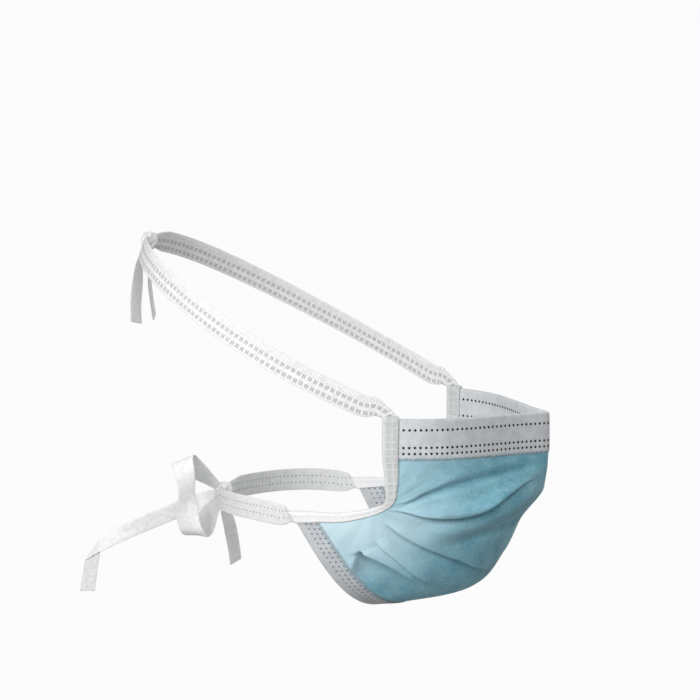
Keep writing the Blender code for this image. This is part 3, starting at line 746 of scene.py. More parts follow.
# the back of the free tape is painted a little greyer than its face: painted shade, for where the folded tail
# turns its back to the light
ribbon_cloth, ribbon_shaded_back = [
    tie_cloth(name, tone, ((-2.9, 0.10), (0.5, 0.10)), RIBBON_PINS, PALE_GREY, PALE_GREY)
    for name, tone in (("ribbon_tape", 1.02), ("ribbon_tape_shaded_back", 0.92))
]
print("cloths:", [name for name in bpy.data.materials.keys() if "spunbond" in name or "tape" in name])

# %% [markdown]
# The cup itself is three plies of spunbond welded along their edges, blue outside and white
# inside. One wall with two faces and two cloths shows both. The white ply of a real mask lies
# smoother than the blue one, so it follows the lower side of the folds; near the bands, which grip
# both plies, it joins them again. The grid is drawn together where a lap has its sharp edge.

# %% The folded cup
COLUMNS, ROWS = 200, 220
# how much closer the rows lie at a lap's edge, and how far from it, in mm
LAP_CROWD, LAP_CROWD_REACH = 3.0, 1.3
# how many rows to each side the white ply bridges, and where it comes free of each band
LINING_ROWS, LINING_BELOW_NOSE, LINING_ABOVE_CHIN = 12, (0.155, 0.21), (0.905, 0.85)


def rows_along_folds(across):
    """Places down each column, drawn together where a lap needs a sharp edge."""
    even = np.linspace(0, 1, 1001)
    crowd = np.ones((len(across), len(even)))
    for kind, *_, path in FOLDS:
        if kind == "lap":
            away = (even - fold_line(1 - np.abs(across), path)) * CUP_LENGTH * 1000
            crowd += LAP_CROWD * np.exp(-((away / LAP_CROWD_REACH) ** 2))
    filled = np.cumsum(crowd, 1)
    filled = (filled - filled[:, :1]) / (filled[:, -1:] - filled[:, :1])
    return np.array([np.interp(np.linspace(0, 1, ROWS + 1), row, even) for row in filled])


def lowest_nearby(heights):
    """The lower side of the folds down each column, drawn smooth."""
    for soften in (np.min, np.mean):
        padded = np.pad(heights, ((0, 0), (LINING_ROWS, LINING_ROWS)), mode="edge")
        windows = np.lib.stride_tricks.sliding_window_view(padded, 2 * LINING_ROWS + 1, axis=1)
        heights = soften(windows, axis=-1)
    return heights


across = np.linspace(-1, 1, COLUMNS + 1)[:, None]
down = rows_along_folds(across)
outer = sheet_point(across, down, wrinkles=True)
folds = fold_height(across, down)[0]
between_bands = eased(down, *LINING_BELOW_NOSE) * eased(down, *LINING_ABOVE_CHIN)
lining_lift = folds + (lowest_nearby(folds) - folds) * between_bands
lining_lift = lining_lift + wrinkle_height(across, down) - PANEL_WALL
inner = cup_point(across, down) + lining_lift[..., None] * cup_frame(across, down)[0]
along = length_along(cup_point(across[:, 0], 0.0))[:, None] + 0 * down
lengths_down = np.array([length_along(column) for column in outer])
lengths = np.stack((along - along[COLUMNS // 2], lengths_down), -1)
lengths = there_and_back(lengths, lengths)
cup = cloth_wall("outer_cloth", there_and_back(outer, inner), lengths, (blue_cloth, white_cloth))
stand_in(cup, "pleated_panel")

# %% [markdown]
# A white band is folded over the top and the bottom edge and welded with three rows of dots.
# Its wall runs down the outside, round the edge and down the inside, and each dot is a real dent.

# %% Where the dots of a band go
# the grid's steps round a dot and how far a dot's grid goes, as shares of its reach, and the steps
# between the dots in mm
DOT_STEPS, NEAR_DOT, PLAIN_STEP = (-1.7, -1, 0, 1, 1.7), 1.71, 1.2
LEAST_STEP_AT_DOT, LEAST_STEP = 0.15, 0.5


def band_places(end, dot_places):
    """Places from 0 to an end in mm, dense enough round each weld dot to dent it."""
    places = [0.0, end]
    for dot in dot_places:
        places += [dot + DOT_REACH * step for step in DOT_STEPS]
    places += list(np.arange(0.0, end, PLAIN_STEP))
    places = np.unique(np.round(places, 3))
    keep = [places[0]]
    for place in places[1:]:
        near_dot = min(abs(place - dot) for dot in dot_places) <= DOT_REACH * NEAR_DOT
        if place - keep[-1] > (LEAST_STEP_AT_DOT if near_dot else LEAST_STEP):
            keep.append(place)
    keep[-1] = end
    return np.array(keep)


def down_of(across, edge, widths):
    """Place down the cup at each width, in metres, from its top (0) or bottom (1) edge."""
    places = np.linspace(edge, 0.5, 61)
    return np.interp(widths, length_along(cup_point(across, places)) / 1000, places)


print("grid across the nose band in mm:", band_places(NOSE_BAND * 1000, NOSE_ROWS))

# %% [markdown]
# A band is one closed section, carried along the edge: the outer leg, the turn and the inner leg
# of its far face, and the same way back on its near face. A dot is a real dent in the far face,
# because a dent in the mesh still reads at a low angle, where bump alone doesn't.

# %% The two bands
# how far the two faces of a band lie from the cloth, in metres, and how its edge thins out
BAND_NEAR, BAND_FAR = 0.00008, 0.00045
THIN_EDGE, THIN_SHARE = 1.2, 0.3
# share of the band's half length that it covers, and how far from its end the last dot is, in mm
BAND_REACH, LAST_DOT = 0.985, 8.0
# a dot's dent: what it would be at the middle if its floor weren't flat, and its fall in one reach
DOT_FLOOR, DOT_FALL = 1.25, 0.9
# the turn round an edge of the cup, without its two ends
HALF_TURN = np.linspace(0, math.pi, 9)[1:-1]


def make_band(name, edge, width, rows, node, band_material):
    """A band over the top edge (0) or the bottom edge (1), so many metres wide."""
    fine = np.linspace(-1, 1, 801)
    rim = length_along(cup_point(fine, float(edge)))
    rim = rim - rim[len(fine) // 2]
    reach = rim[-1] * BAND_REACH
    dot_places = [(step + 0.5) * DOT_PITCH for step in range(int(reach / DOT_PITCH - 0.5))]
    dot_places = [dot for dot in dot_places if dot < reach - LAST_DOT]
    print(name, "half length in mm:", round(float(rim[-1]), 1), "dots a row:", 2 * len(dot_places))
    half = band_places(reach, dot_places)
    places = np.concatenate((-half[:0:-1], half))
    acrosses = np.interp(places, rim, fine)
    widths = band_places(width * 1000, rows)
    way = 1 if edge == 0 else -1
    thin = np.interp(widths, (width * 1000 - THIN_EDGE, width * 1000), (1.0, THIN_SHARE))
    spots = np.array([-dot for dot in dot_places[::-1]] + dot_places)
    off_dot = np.abs(places[:, None] - spots).min(1)[:, None]
    dent = np.zeros((len(places), len(widths)))
    for row in rows:
        off_middle = np.hypot(off_dot, widths - row) / DOT_REACH
        dent = np.maximum(dent, np.clip(DOT_FLOOR - off_middle * DOT_FALL, 0, 1))
    d = np.array([down_of(a, edge, widths / 1000) for a in acrosses])
    a = acrosses[:, None]

    def face(lift, sunk):
        outer = sheet_point(a, d, lift * thin - sunk, wrinkles=True)[:, ::-1]
        radius = PANEL_WALL / 2 + lift
        round_edge = sheet_point(
            a, float(edge), -PANEL_WALL / 2 + radius * np.cos(HALF_TURN),
            below=-way * radius * np.sin(HALF_TURN), wrinkles=True,
        )
        inside = sheet_point(a, d, -PANEL_WALL - lift * thin + sunk, wrinkles=True)
        return np.concatenate((outer, round_edge, inside), 1)

    sections = there_and_back(face(BAND_FAR, dent * DOT_DENT), face(BAND_NEAR, 0.0))
    lengths_across = np.concatenate((widths[::-1], 0 * HALF_TURN, widths))
    lengths = np.stack(np.broadcast_arrays(places[:, None], lengths_across), -1)
    band = cloth_wall(name, sections, there_and_back(lengths, lengths), (band_material,))
    stand_in(band, node)
    return band


nose_band = make_band("nose_band", 0, NOSE_BAND, NOSE_ROWS, "nose_hem", nose_cloth)
chin_band = make_band("chin_band", 1, CHIN_BAND, CHIN_ROWS, "chin_hem", chin_cloth)

# %% [markdown]
# Tape is folded over each gathered side edge. It grips the cloth from both sides, so its section
# is a U, with embossed cells on the outside. It runs a little past both corners, where the ties
# start, and it is slimmer there. The bands lie under its two ends and lift it.

# %% The measures of a binding
BINDING_WIDTH, BINDING_BEYOND = 0.0062, 0.0022
# down the side edge, share of the width above
BINDING_STATIONS = np.array((
    (0.00, 1.00), (0.18, 0.95), (0.30, 0.70), (0.40, 0.50), (0.60, 0.65), (0.90, 0.72), (1.00, 0.80),
))
# in metres: gap to the cloth, what a band under it adds, its own wall, a cell's dent, the dent
# towards its inner edge, and the share by which it is slimmer past the corners
BINDING_GAP, BINDING_OVER_BAND, BINDING_WALL = 0.00020, 0.00050, 0.00045
CELL_DENT, EDGE_DENT, BINDING_SLIM = 0.00012, 0.00030, 0.38
# half a cell's width in mm and half its length as a share of the pitch, outside and inside its wall
CELL_HALF_WIDTH, CELL_HALF_LENGTH = (1.10, 0.80), (0.42, 0.32)
# where the nose band ends under the tape and where the chin band starts, where on a leg its edge
# is dented, and how deep its turn is, as a share of a round one
OFF_NOSE_BAND, ON_CHIN_BAND, LEG_EDGE, TURN_DEPTH = (0.17, 0.13), (0.88, 0.92), (0.86, 1.0), 0.55


def inset_at(down, width):
    """Share of half a section that lies within a width of the side edge."""
    shares = np.linspace(0, 0.5, 61)
    return float(np.interp(width, length_along(cup_point(shares - 1, down)) / 1000, shares))


def cell_depth(along, across):
    """1 inside an embossed cell of the binding and 0 between the cells."""
    column = np.min([np.abs(across - row) for row in BINDING_ROWS], axis=0)
    place = np.abs((np.abs(along) / CELL_PITCH) % 1 - 0.5)
    return eased(column, *CELL_HALF_WIDTH) * eased(place, *CELL_HALF_LENGTH)


shares_under = [round(inset_at(down, BINDING_WIDTH), 3) for down in (0, 0.5, 1)]
print("share of half a section under the binding:", shares_under)

# %% [markdown]
# The binding's section goes down the outer leg, round the side edge and back on the inner leg. The
# same section, a wall's thickness closer to the cloth, closes it.

# %% The side bindings
def make_binding(side, label):
    """The tape over one side edge, with the mouths that the ties grow out of."""
    rows = np.linspace(0, 1, 241)
    legs = np.linspace(1, 0, 15)
    rim = length_along(cup_point(side * np.ones(len(rows)), rows))
    steps_out = (0.2, 0.4, 0.6, 0.8, 1.0)
    stations = [(0.0, -BINDING_BEYOND * share) for share in steps_out[::-1]]
    stations += [(row, 0.0) for row in rows]
    stations += [(1.0, BINDING_BEYOND * share) for share in steps_out]
    row, below = np.array(stations).T[:, :, None]
    width = BINDING_WIDTH * np.interp(row, *BINDING_STATIONS.T)
    inset = np.array([[inset_at(r, w)] for r, w in zip(row[:, 0], width[:, 0])])
    over_band = eased(row, *OFF_NOSE_BAND) + eased(row, *ON_CHIN_BAND)
    near = BINDING_GAP + BINDING_OVER_BAND * over_band
    along = np.interp(row, rows, rim) + below * 1000
    dent = CELL_DENT * cell_depth(along, width * 1000 * legs) + EDGE_DENT * eased(legs, *LEG_EDGE)
    slim = 1 - BINDING_SLIM * eased(np.abs(below), 0.0, BINDING_BEYOND) ** 2

    def face(lift, sunk):
        lift = (PANEL_WALL / 2 + lift) * slim - PANEL_WALL / 2
        outer = sheet_point(side * (1 - inset * legs), row, lift - sunk, below=below)
        radius = PANEL_WALL / 2 + lift
        turn = sheet_point(
            side, row, -PANEL_WALL / 2 + radius * np.cos(HALF_TURN),
            below=below, beyond=TURN_DEPTH * radius * np.sin(HALF_TURN),
        )
        inside = sheet_point(side * (1 - inset * legs), row, -PANEL_WALL - lift, below=below)[:, ::-1]
        return np.concatenate((outer, turn, inside), 1)

    sections = there_and_back(face(near + BINDING_WALL, dent), face(near, 0.0))
    leg = width * 1000 * legs
    lengths_across = np.concatenate((leg, 0 * along * HALF_TURN, leg[:, ::-1]), 1)
    lengths = np.stack(np.broadcast_arrays(along, lengths_across), -1)
    lengths = there_and_back(lengths, lengths)
    binding = cloth_wall(f"binding_tape_{label}", sections, lengths, (edge_cloth,))
    stand_in(binding, f"side_binding_{label}")
    return binding


for side, label in ((-1, "right"), (1, "left")):
    binding = make_binding(side, label)

# %% [markdown]
# The ties are flat tape. Each leaves a corner of the cup, bends round the hollow that the mask is
# worn on, and runs back to its knot. A curve drawn by hand would do for one view; here an ellipse
# stands for the hollow, so the way is right from all sides. At its start the tie takes the turn of
# the binding that it grows out of.

# %% The measures of the ties
TAPE_WALL, TAPE_WIDTH, CLEARANCE = 0.0010, 0.0100, 0.0003
# the hollows of the upper and the lower ties, with how far their knots lie back, up or down, how
# much the ties sag or arch on the way, and how far the upper ones lean in degrees
HEAD_HALF_BREADTH, HEAD_CENTRE, HEAD_BACK = 0.070, 0.0935, 0.1795
CROWN_RISE, CROWN_LEAN, CROWN_SAG = 0.073, 20.0, 0.0025
NECK_HALF_BREADTH, NECK_BACK, NAPE_DROP, NAPE_ARCH = 0.054, 0.1445, 0.040, 0.0013
KNOT_SIZE = np.array((0.010, 0.007, 0.0085))
# how the points crowd at the start, and the shares of the way over which a tie comes to lie
TIE_SPREAD, TIE_SETTLES, TIE_LEANS, TIE_SWINGS = 1.3, 0.35, 0.30, 0.08
# share of the way, share of the tape's width, share of its wall, turn towards the binding's line
UPPER_TIE = np.array((
    (0, 0.64, 1.4, 1), (0.005, 0.58, 1.4, 0.75), (0.012, 0.56, 1.2, 0.30), (0.022, 0.66, 0.9, 0.08),
    (0.04, 0.86, 0.7, 0), (0.08, 0.97, 0.6, 0), (0.92, 1, 0.6, 0), (1, 0.6, 1.4, 0),
))
LOWER_TIE = np.array((
    (0, 0.56, 1.4, 1), (0.028, 0.60, 1.1, 0.80), (0.056, 0.84, 0.8, 0.45), (0.10, 0.96, 0.6, 0.20),
    (0.20, 1, 0.6, 0), (0.85, 1, 0.6, 0), (1, 0.6, 1.4, 0),
))
# how far inside the binding's mouth a tie starts
TIE_INSIDE = 0.0010
crown = np.array((0.0, HEAD_BACK + KNOT_SIZE[1] / 2, CROWN_RISE))
nape = np.array((0.0, NECK_BACK + KNOT_SIZE[1] / 2, -NAPE_DROP))
print("knots at", crown.round(4), "and", nape.round(4))

# %% [markdown]
# A tie starts in the mouth of its binding, at the middle of the face there and turned with it. From
# there it swings on to the ellipse. The table above says how wide and how thick it is on the way,
# and how soon it gives up the binding's turn.

# %% The way of a tie
def binding_end(down):
    """Middle of the face that a tie grows out of, and the line across it."""
    below = TIE_INSIDE if down == 1 else -TIE_INSIDE
    inset = inset_at(down, BINDING_WIDTH * np.interp(down, *BINDING_STATIONS.T))
    middle = -PANEL_WALL / 2
    back = sheet_point(-1.0, down, middle, below=below, beyond=TIE_INSIDE / 2)
    front = sheet_point(inset - 1, down, middle, below=below)
    line = unit(back - front) if down == 1 else unit(front - back)
    return (back + front) / 2, line


def tie_way(start, start_line, half_breadth, back, end_height, arch, table, lean, steps):
    """Centres, lines across, widths and walls of a tie on the mask's right."""
    depth = back - HEAD_CENTRE
    first = math.acos(np.clip((HEAD_CENTRE - start[1]) / depth, -0.95, 0.95))
    last = math.pi - (KNOT_SIZE[0] / 2 + CLEARANCE) / half_breadth
    share = np.linspace(0, 1, steps + 1) ** TIE_SPREAD
    turn = first + (last - first) * share
    y = -depth * np.cos(turn) + HEAD_CENTRE
    rise = (y - start[1]) / (back - start[1])
    z = start[2] + (end_height - start[2]) * rise + arch * np.sin(math.pi * rise)
    points = np.stack((-half_breadth * np.sin(turn), y, z), -1)
    points = points + (start - points[0]) * eased(share, TIE_SETTLES, 0)[:, None]
    outward = unit(np.stack((-np.sin(turn) / half_breadth, -np.cos(turn) / depth, 0 * turn), -1))
    upright = unit(np.cross(unit(np.gradient(points, axis=0)), outward))
    tip = np.radians(lean) * eased(share, 0, TIE_LEANS)[:, None]
    line = upright * np.cos(tip) - outward * np.sin(tip)
    turned = np.interp(share, table[:, 0], table[:, 3])[:, None]
    line = unit(line * (1 - turned) + start_line * turned)
    width = TAPE_WIDTH * np.interp(share, table[:, 0], table[:, 1])
    swing = (line * width[:, None] - start_line * width[0]) / 2
    points = points + swing * eased(share, TIE_SWINGS, 0)[:, None]
    return points, line, width, TAPE_WALL * np.interp(share, table[:, 0], table[:, 2])


top, top_line = binding_end(0)
foot, foot_line = binding_end(1)
upper_way = tie_way(
    top, top_line, HEAD_HALF_BREADTH, crown[1], CROWN_RISE, -CROWN_SAG, UPPER_TIE, CROWN_LEAN, steps=300
)
lower_way = tie_way(
    foot, foot_line, NECK_HALF_BREADTH, nape[1], -NAPE_DROP, NAPE_ARCH, LOWER_TIE, lean=0.0, steps=260
)
for name, way in (("upper", upper_way), ("lower", lower_way)):
    print(name, "ties are", length_along(way[0])[-1].round(1), "mm long")

# %% [markdown]
# All tapes here are made alike: a thin section with rounded edges is carried along the way. Where a
# tie grows out of its binding, the section is slanted instead of square to the way, so that no gap
# opens between the two.

# %% The four ties
def tape(name, centres, lines, widths, walls, node, cloths, slants=0.0, bend=None):
    """A flat tape with rounded edges through centres, across the given lines.

    A slant moves a line's upper end forward by so much of its length; bend moves finished points.
    """
    tangents = unit(np.gradient(centres, axis=0))
    square = unit(lines - tangents * np.sum(lines * tangents, -1, keepdims=True))
    normals = np.cross(tangents, square)
    lines = square + tangents * np.reshape(slants, (-1, 1))
    places = np.sin(np.linspace(-1, 1, 31) * math.pi / 2)
    rounding = np.sqrt(np.clip(1 - places**12, 0, 1))
    along = length_along(centres)
    sections, lengths = [], []
    for centre, line, normal, width, wall, far in zip(centres, lines, normals, widths, walls, along):
        spread = centre + line * (places[:, None] * width / 2)
        upper = spread + normal * (wall / 2 * rounding)[:, None]
        lower = spread - normal * (wall / 2 * rounding)[:, None]
        sections.append(np.concatenate((upper, lower[::-1])))
        line_lengths = np.stack((np.full(len(places), far), places * width * 500), -1)
        lengths.append(np.concatenate((line_lengths, line_lengths[::-1])))
    sections = np.array(sections)
    if bend is not None:
        sections = bend(sections)
    piece = cloth_wall(name, sections, lengths, cloths)
    stand_in(piece, node)


def start_slants(centres, lines, reach=16.0):
    """Slants that keep the lines as they are at the start, where the tie grows out of its binding."""
    tangents = unit(np.gradient(centres, axis=0))
    lean = np.sum(lines * tangents, -1)
    slants = np.clip(lean / np.sqrt(np.maximum(1 - lean**2, 0.05)), -3.0, 3.0)
    return slants * eased(length_along(centres), reach, 0.0)


def mirrored(points, side):
    """Points or directions of the mask's right side, for the side that is asked for."""
    return points * np.array((-side, 1, 1))


for side, label in ((-1, "right"), (1, "left")):
    for name, way, cloth in (("upper_tie", upper_way, upper_cloth), ("lower_tie", lower_way, lower_cloth)):
        centres, lines, widths, walls = way
        slants = start_slants(centres, lines)
        tape(
            f"{name}_tape_{label}", mirrored(centres, side), mirrored(lines, side),
            widths / np.sqrt(1 + slants**2), walls, f"{name}_{label}", (cloth,), slants,
        )

# %% [markdown]
# Free tape bends and folds under its own stiffness. A short table gives, in shares of its reach,
# where its middle goes and how it is turned, and a smooth curve through the rows bends it. The
# loop of the bow is one such tape that leaves the knot and comes back to it.

# %% The bow's loop
# out, back, up from the knot as shares of the reach, lay and tilt of the line across, width
BOW_LOOP = (
    (0.0, 0.0, 0.0, -44, 0, 0.38), (0.28, 0.26, 0.29, -44, 0, 0.58), (0.45, 0.43, 0.475, -43, 0, 0.85),
    (0.575, 0.625, 0.675, -36, 0, 1.00), (0.65, 0.705, 0.76, -27, 0, 1.08), (0.75, 0.735, 0.80, -22, 0, 1.10),
    (0.85, 0.715, 0.74, -18, 0, 1.02), (0.925, 0.655, 0.55, -10, 12, 0.95), (0.965, 0.60, 0.25, -3, 42, 0.90),
    (0.97, 0.585, -0.025, 0, 48, 0.90), (0.95, 0.585, -0.30, 0, 28, 0.95), (0.89, 0.57, -0.575, 0, 10, 1.00),
    (0.79, 0.525, -0.80, 0, 0, 1.08), (0.625, 0.465, -0.915, 2, 0, 1.12), (0.46, 0.405, -0.825, 6, 0, 1.08),
    (0.38, 0.325, -0.625, 16, 0, 1.00), (0.33, 0.215, -0.40, 24, 0, 0.75), (0.0, 0.0, 0.0, 30, 0, 0.40),
)
# in metres: how far the loop reaches from its knot, and the wall of free tape
LOOP_REACH, RIBBON_WALL = 0.020, 0.0006
# a tape starts this share of the way from the middle of its knot to the knot's full size
START_IN_KNOT = 0.4


def smooth_through(rows, steps):
    """Many rows on a smooth curve through a few."""
    places = np.linspace(0, len(rows) - 1, steps)
    low = np.clip(places.astype(int), 0, len(rows) - 2)
    return smooth_between(rows, np.gradient(rows, axis=0), low, (places - low)[:, None])


def free_tape(name, table, reach, knot, side, node, steps=160, slant_rule=None, bend=None):
    """A tape from a knot along the rows of a table."""
    centres, lines, widths = [], [], []
    for out, back, up, lay, tilt, width in table:
        lay, tilt = math.radians(lay), math.radians(tilt)
        line = np.array((-math.sin(tilt), math.cos(tilt) * math.cos(lay), math.cos(tilt) * math.sin(lay)))
        centres.append(knot + mirrored(reach * np.array((-out, back, up)), side))
        lines.append(mirrored(line, side))
        widths.append(TAPE_WIDTH * width)
    for end, following in ((0, 1), (-1, -2)):
        if table[end][:3] == (0.0, 0.0, 0.0):
            away = unit(centres[following] - knot)
            centres[end] = knot + away * np.linalg.norm(away * KNOT_SIZE) * START_IN_KNOT
            lines[end] = lines[end] - away * np.dot(lines[end], away)
    rows = smooth_through(np.column_stack((centres, lines, widths)), steps)
    centres, lines, widths = rows[:, :3], rows[:, 3:6], rows[:, 6]
    slants = 0.0 if slant_rule is None else slant_rule(centres)
    walls = np.full(steps, RIBBON_WALL)
    tape(name, centres, lines, widths, walls, node, (ribbon_shaded_back, ribbon_cloth), slants, bend)


free_tape("bow_loop_tape", BOW_LOOP, LOOP_REACH, nape, -1, "nape_bow_loop", 220)

# %% [markdown]
# The tail of the bow is folded flat near its end, at an angle, as a ribbon folds over a finger. It
# is made straight first, with sections that slant until they run along the fold, and everything
# past the fold line is then rolled round a tight bend and laid behind the rest.

# %% The folded tail
# the tail lies straight on past its fold line here, and is folded flat behind itself afterwards
BOW_TAIL = (
    (0.0, 0.0, 0.0, 66, 0, 0.40), (0.036, 0.121, -0.048, 66, 10, 0.66), (0.040, 0.218, -0.088, 66, 25, 0.82),
    (0.036, 0.395, -0.163, 65, 28, 0.86), (0.032, 0.5637, -0.2375, 64, 28, 0.84),
    (0.028, 0.7142, -0.3057, 62, 20, 0.76), (0.0274, 0.8126, -0.3536, 61, 8, 0.69),
    (0.0274, 0.8973, -0.3962, 61, 0, 0.66), (0.0274, 0.9432, -0.4198, 61, 0, 0.65),
    (0.0274, 0.9855, -0.4432, 61, 0, 0.65), (0.0274, 1.0278, -0.4666, 61, 0, 0.65),
    (0.0274, 1.0701, -0.4901, 61, 0, 0.66), (0.0274, 1.1265, -0.5214, 61, 0, 0.68),
    (0.0274, 1.2111, -0.5683, 61, 0, 0.70), (0.0274, 1.2959, -0.6152, 61, 0, 0.70),
)
TAIL_REACH, TAIL_BEND, TAIL_FOLD = 0.062, 0.00045, BOW_TAIL[9][:3]
TAIL_FOLD_LINE = np.array((0.0, 0.5729, -0.8195))
TAIL_ALONG, TAIL_SLANT = unit(np.array((0.0, 0.8747, -0.4848))), -2.046
# where the sections turn to the fold and how far they turn back after it, in mm past the fold
SLANT_COMES, SLANT_GOES, SLANT_LOST = (-15.0, -3.0), (5.0, 20.0), 0.9
tail_fold = nape + TAIL_REACH * np.array(TAIL_FOLD) * np.array((-1, 1, 1))


def tail_slants(centres):
    """Turns the tail's sections until they run along its fold, and back again after it."""
    past = (centres - tail_fold) @ TAIL_ALONG * 1000
    return TAIL_SLANT * eased(past, *SLANT_COMES) * (1 - SLANT_LOST * eased(past, *SLANT_GOES))


def folded_flat(points):
    """Folds what lies past the tail's fold line flat behind the rest, round its bend."""
    facing = np.array((-1.0, 0.0, 0.0))
    beyond = np.cross(facing, TAIL_FOLD_LINE)
    beyond = beyond * np.sign(beyond[1])
    away = points - tail_fold
    past, height = away @ beyond, away @ facing
    turn = np.clip(past / TAIL_BEND, 0, math.pi)
    rolled = (TAIL_BEND + height) * np.sin(turn) - np.maximum(past - math.pi * TAIL_BEND, 0)
    inwards = np.where(past > 0, rolled, past)
    behind = np.where(past > 0, (TAIL_BEND + height) * np.cos(turn) - TAIL_BEND, height)
    kept = tail_fold + (away @ TAIL_FOLD_LINE)[..., None] * TAIL_FOLD_LINE
    return kept + inwards[..., None] * beyond + behind[..., None] * facing


free_tape("bow_tail_tape", BOW_TAIL, TAIL_REACH, nape, -1, "nape_bow_tail", 300, tail_slants, folded_flat)

# %% [markdown]
# Three ends are left: one at the lower knot and two at the upper one. They are cut short and hang
# down close to their knots, so that one table does for both ends of the upper knot.

# %% The short ends
SHORT_END = (
    (0.0, 0.0, 0.0, 0, 75, 0.45), (-0.17, 0.03, -0.30, 0, 75, 0.80), (-0.24, 0.00, -0.50, 0, 75, 1.00),
    (-0.30, -0.03, -0.75, 0, 75, 1.00), (-0.34, -0.05, -1.00, 0, 75, 1.00),
)
CROWN_ENDS = (
    (0.0, 0.0, 0.0, 0, 80, 0.35), (0.22, 0.06, -0.30, 0, 80, 0.75), (0.24, 0.08, -0.52, 0, 80, 1.00),
    (0.31, 0.08, -0.76, 0, 80, 1.00), (0.36, 0.06, -1.00, 0, 80, 1.00),
)
for name, table, reach, knot, side, node in (
    ("short_end_tape", SHORT_END, 0.034, nape, -1, "nape_short_end"),
    ("crown_end_tape_right", CROWN_ENDS, 0.036, crown, -1, "crown_end_right"),
    ("crown_end_tape_left", CROWN_ENDS, 0.036, crown, 1, "crown_end_left"),
):
    free_tape(name, table, reach, knot, side, node)

# %% [markdown]
# A knot in flat tape is a small bundle, crossed by the tape that was pulled tight round it. Tying
# one in code would be long work for a bundle of ten millimetres, so a ball is shaped instead: a
# raised band runs round it at a lean, a groove lies on each side of the band, and the rest is
# pleated. A ball has no map of lengths, so its fibres are placed in millimetres of space.

# %% The knots
KNOT_LEAN, KNOT_BAND, KNOT_GROOVE, KNOT_GROOVE_WIDTH = 0.35, 0.42, 0.46, 0.10
# pleats round the bundle and how they twist, ridges along the band, and the size of the dents
KNOT_PLEATS, KNOT_TWIST, KNOT_RIDGES, KNOT_DENTS = 7, 2.0, 15.0, 2.2
# how high or deep each of them is, as a share of the ball's radius
BAND_RISE, GROOVE_SINK, PLEAT_RISE, RIDGE_RISE, DENT_RISE = 0.05, 0.17, 0.055, 0.02, 0.05
knot_cloth = Cloth("knot_tape", glow=0.4)
place = knot_cloth.tree.nodes.new("ShaderNodeTexCoord").outputs["Object"]
in_mm = knot_cloth.tree.nodes.new("ShaderNodeVectorMath")
in_mm.operation = "SCALE"
in_mm.inputs["Scale"].default_value = 1000.0
knot_cloth.tree.links.new(place, in_mm.inputs[0])
knot_cloth.lengths = in_mm.outputs["Vector"]
felt, colour = tape_felt(knot_cloth, 1.0)
knot_cloth = knot_cloth.finish(colour, 0.8, felt["Height"])


def make_knot(name, middle, node):
    """A ball that is shaped like a tight knot, at one of the two knots' places."""
    bm = bmesh.new()
    bmesh.ops.create_icosphere(bm, subdivisions=5, radius=1.0)
    for vert in bm.verts:
        x, y, z = vert.co
        lean = x - KNOT_LEAN * z
        band = float(np.exp(-((abs(lean) / KNOT_BAND) ** 6)))
        groove = float(np.exp(-(((abs(lean) - KNOT_GROOVE) / KNOT_GROOVE_WIDTH) ** 2)))
        pleat = math.sin(math.atan2(z, y) * KNOT_PLEATS + KNOT_TWIST * x) * (1 - band)
        ridge = math.sin(lean * KNOT_RIDGES) * band
        grow = 1.0 + BAND_RISE * band - GROOVE_SINK * groove + PLEAT_RISE * pleat + RIDGE_RISE * ridge
        grow += DENT_RISE * noise.noise(Vector((x * KNOT_DENTS, y * KNOT_DENTS, z * KNOT_DENTS)))
        vert.co = [middle[axis] + vert.co[axis] * grow * KNOT_SIZE[axis] / 2 for axis in range(3)]
    mesh = bpy.data.meshes.new(name)
    bm.to_mesh(mesh)
    bm.free()
    mesh.materials.append(knot_cloth)
    mesh.shade_smooth()
    stand_in(add_to_scene(name, mesh), node)
    print(name, "has", len(mesh.polygons), "triangles")


make_knot("nape_knot_wrap", nape, "nape_knot")
make_knot("crown_knot_wrap", crown, "crown_knot")

# %% [markdown]
# The last steps are those of a small studio. A pale floor and an equally pale backdrop leave the
# white tapes to stand out by their shading alone. To the eye both are nearly white, but the light
# that they bounce is kept low, because a bright room would wash the folds out.

# %% The floor and the backdrop
PALE, BOUNCED, ROOM_LIGHT = (0.97, 0.97, 0.97, 1.0), (0.35, 0.35, 0.35, 1.0), 0.20


def seen_and_lit(tree, seen, lit, output):
    """Shows one shader to the eye and another to the light that bounces."""
    path = tree.nodes.new("ShaderNodeLightPath")
    mix = tree.nodes.new("ShaderNodeMixShader")
    tree.links.new(path.outputs["Is Camera Ray"], mix.inputs["Fac"])
    tree.links.new(lit, mix.inputs[1])
    tree.links.new(seen, mix.inputs[2])
    tree.links.new(mix.outputs["Shader"], output.inputs["Surface"])


FLOOR_DROP, FLOOR_REACH = 0.30, 300.0
bm = bmesh.new()
bmesh.ops.create_grid(bm, x_segments=1, y_segments=1, size=FLOOR_REACH)
floor_mesh = bpy.data.meshes.new("floor")
bm.to_mesh(floor_mesh)
bm.free()
floor = add_to_scene("floor", floor_mesh)
floor.location = (0, 0, -FLOOR_DROP)
floor_paint = bpy.data.materials.new("pale_floor")
floor_paint.use_nodes = True
tree = floor_paint.node_tree
floor_shader = tree.nodes["Principled BSDF"]
floor_shader.inputs["Base Color"].default_value = BOUNCED
floor_shader.inputs["Roughness"].default_value = 0.9
glow = tree.nodes.new("ShaderNodeEmission")
glow.inputs["Color"].default_value = PALE
seen_and_lit(tree, glow.outputs["Emission"], floor_shader.outputs["BSDF"], tree.nodes["Material Output"])
floor_mesh.materials.append(floor_paint)

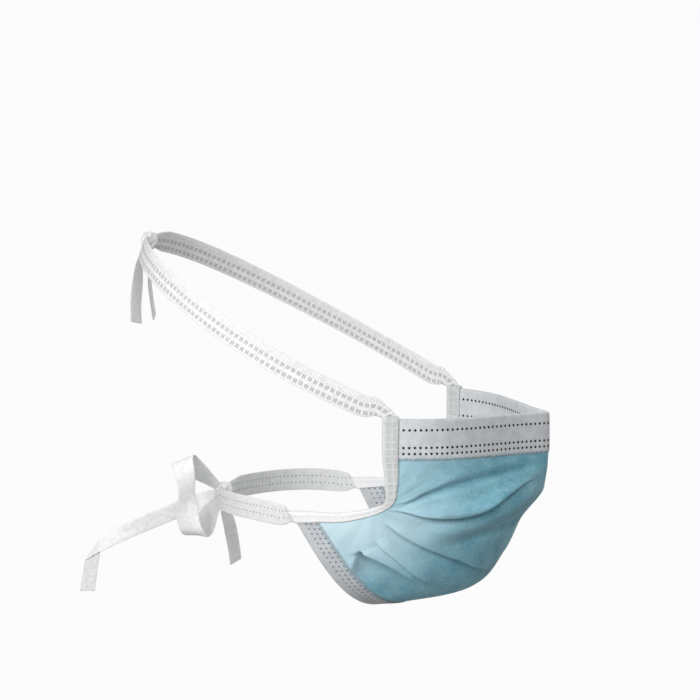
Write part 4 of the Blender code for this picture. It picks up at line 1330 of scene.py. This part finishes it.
world = bpy.data.worlds.new("studio")
bpy.context.scene.world = world
world.use_nodes = True
tree = world.node_tree
soft = tree.nodes["Background"]
soft.inputs["Color"].default_value = (1.0, 1.0, 1.0, 1.0)
soft.inputs["Strength"].default_value = ROOM_LIGHT
white = tree.nodes.new("ShaderNodeBackground")
white.inputs["Color"].default_value = PALE
seen_and_lit(tree, white.outputs["Background"], soft.outputs["Background"], tree.nodes["World Output"])
bpy.context.scene.view_settings.view_transform = "Standard"
print("the floor lies", FLOOR_DROP, "m below the middle of the top edge")

# %% [markdown]
# Three square panels light the mask. The key and the front one are set out from the camera's view:
# the key stands to its left and a little above, and models the folds, and the front one stands
# close to the camera and fills what lies under them. The fill is a large panel on the other side,
# so that the mask isn't dark from there.

# %% The lights
VIEW_AZIMUTH, VIEW_ELEVATION, VIEW_DISTANCE = math.radians(-75), math.radians(6), 1.5
view_back = Vector((
    math.sin(VIEW_AZIMUTH) * math.cos(VIEW_ELEVATION),
    -math.cos(VIEW_AZIMUTH) * math.cos(VIEW_ELEVATION),
    math.sin(VIEW_ELEVATION),
))
view_right = Vector((math.cos(VIEW_AZIMUTH), math.sin(VIEW_AZIMUTH), 0.0))
view_up = view_back.cross(view_right)
MASK_MIDDLE = Vector((0, 0.07, 0))


def soft_light(name, away, distance, size, power):
    """A square panel in a direction from the mask, aimed at its middle."""
    lamp = bpy.data.lights.new(name, "AREA")
    lamp.energy = power
    lamp.size = size
    holder = add_to_scene(name, lamp)
    away = away.normalized()
    holder.location = MASK_MIDDLE + away * distance
    holder.rotation_euler = away.to_track_quat("Z", "Y").to_euler()
    print(name, "light of", power, "W at", [round(place, 2) for place in holder.location])


soft_light("key", view_back - view_right * 0.9 + view_up * 0.30, 1.3, 0.5, 9.6)
soft_light("front", view_back + view_up * 0.35, 1.3, 0.5, 7.6)
soft_light("fill", Vector((1.0, -0.3, 0.5)), 1.4, 1.2, 17.0)

# %% [markdown]
# The camera looks at the mask's right side, a little from the front and from above, through a long
# lens from one and a half metres away, so that near and far parts keep their true sizes. Its aim
# follows from where the middle of the top edge has to lie in the picture.

# %% The camera
METRES_PER_PIXEL = 0.00044
IMAGE_SIDE, ORIGIN_PIXEL, SENSOR = 700, (545.8, 414.0), 36.0
target = (
    view_right * (IMAGE_SIDE / 2 - ORIGIN_PIXEL[0]) * METRES_PER_PIXEL
    + view_up * (ORIGIN_PIXEL[1] - IMAGE_SIDE / 2) * METRES_PER_PIXEL
)
lens = bpy.data.cameras.new("camera")
lens.sensor_width = SENSOR
lens.lens = SENSOR * VIEW_DISTANCE / (IMAGE_SIDE * METRES_PER_PIXEL)
camera = add_to_scene("camera", lens)
camera.matrix_world = Matrix.Translation(target + view_back * VIEW_DISTANCE) @ Matrix(
    (view_right, view_up, view_back)
).transposed().to_4x4()
bpy.context.scene.camera = camera
print("lens in mm:", round(lens.lens, 1))
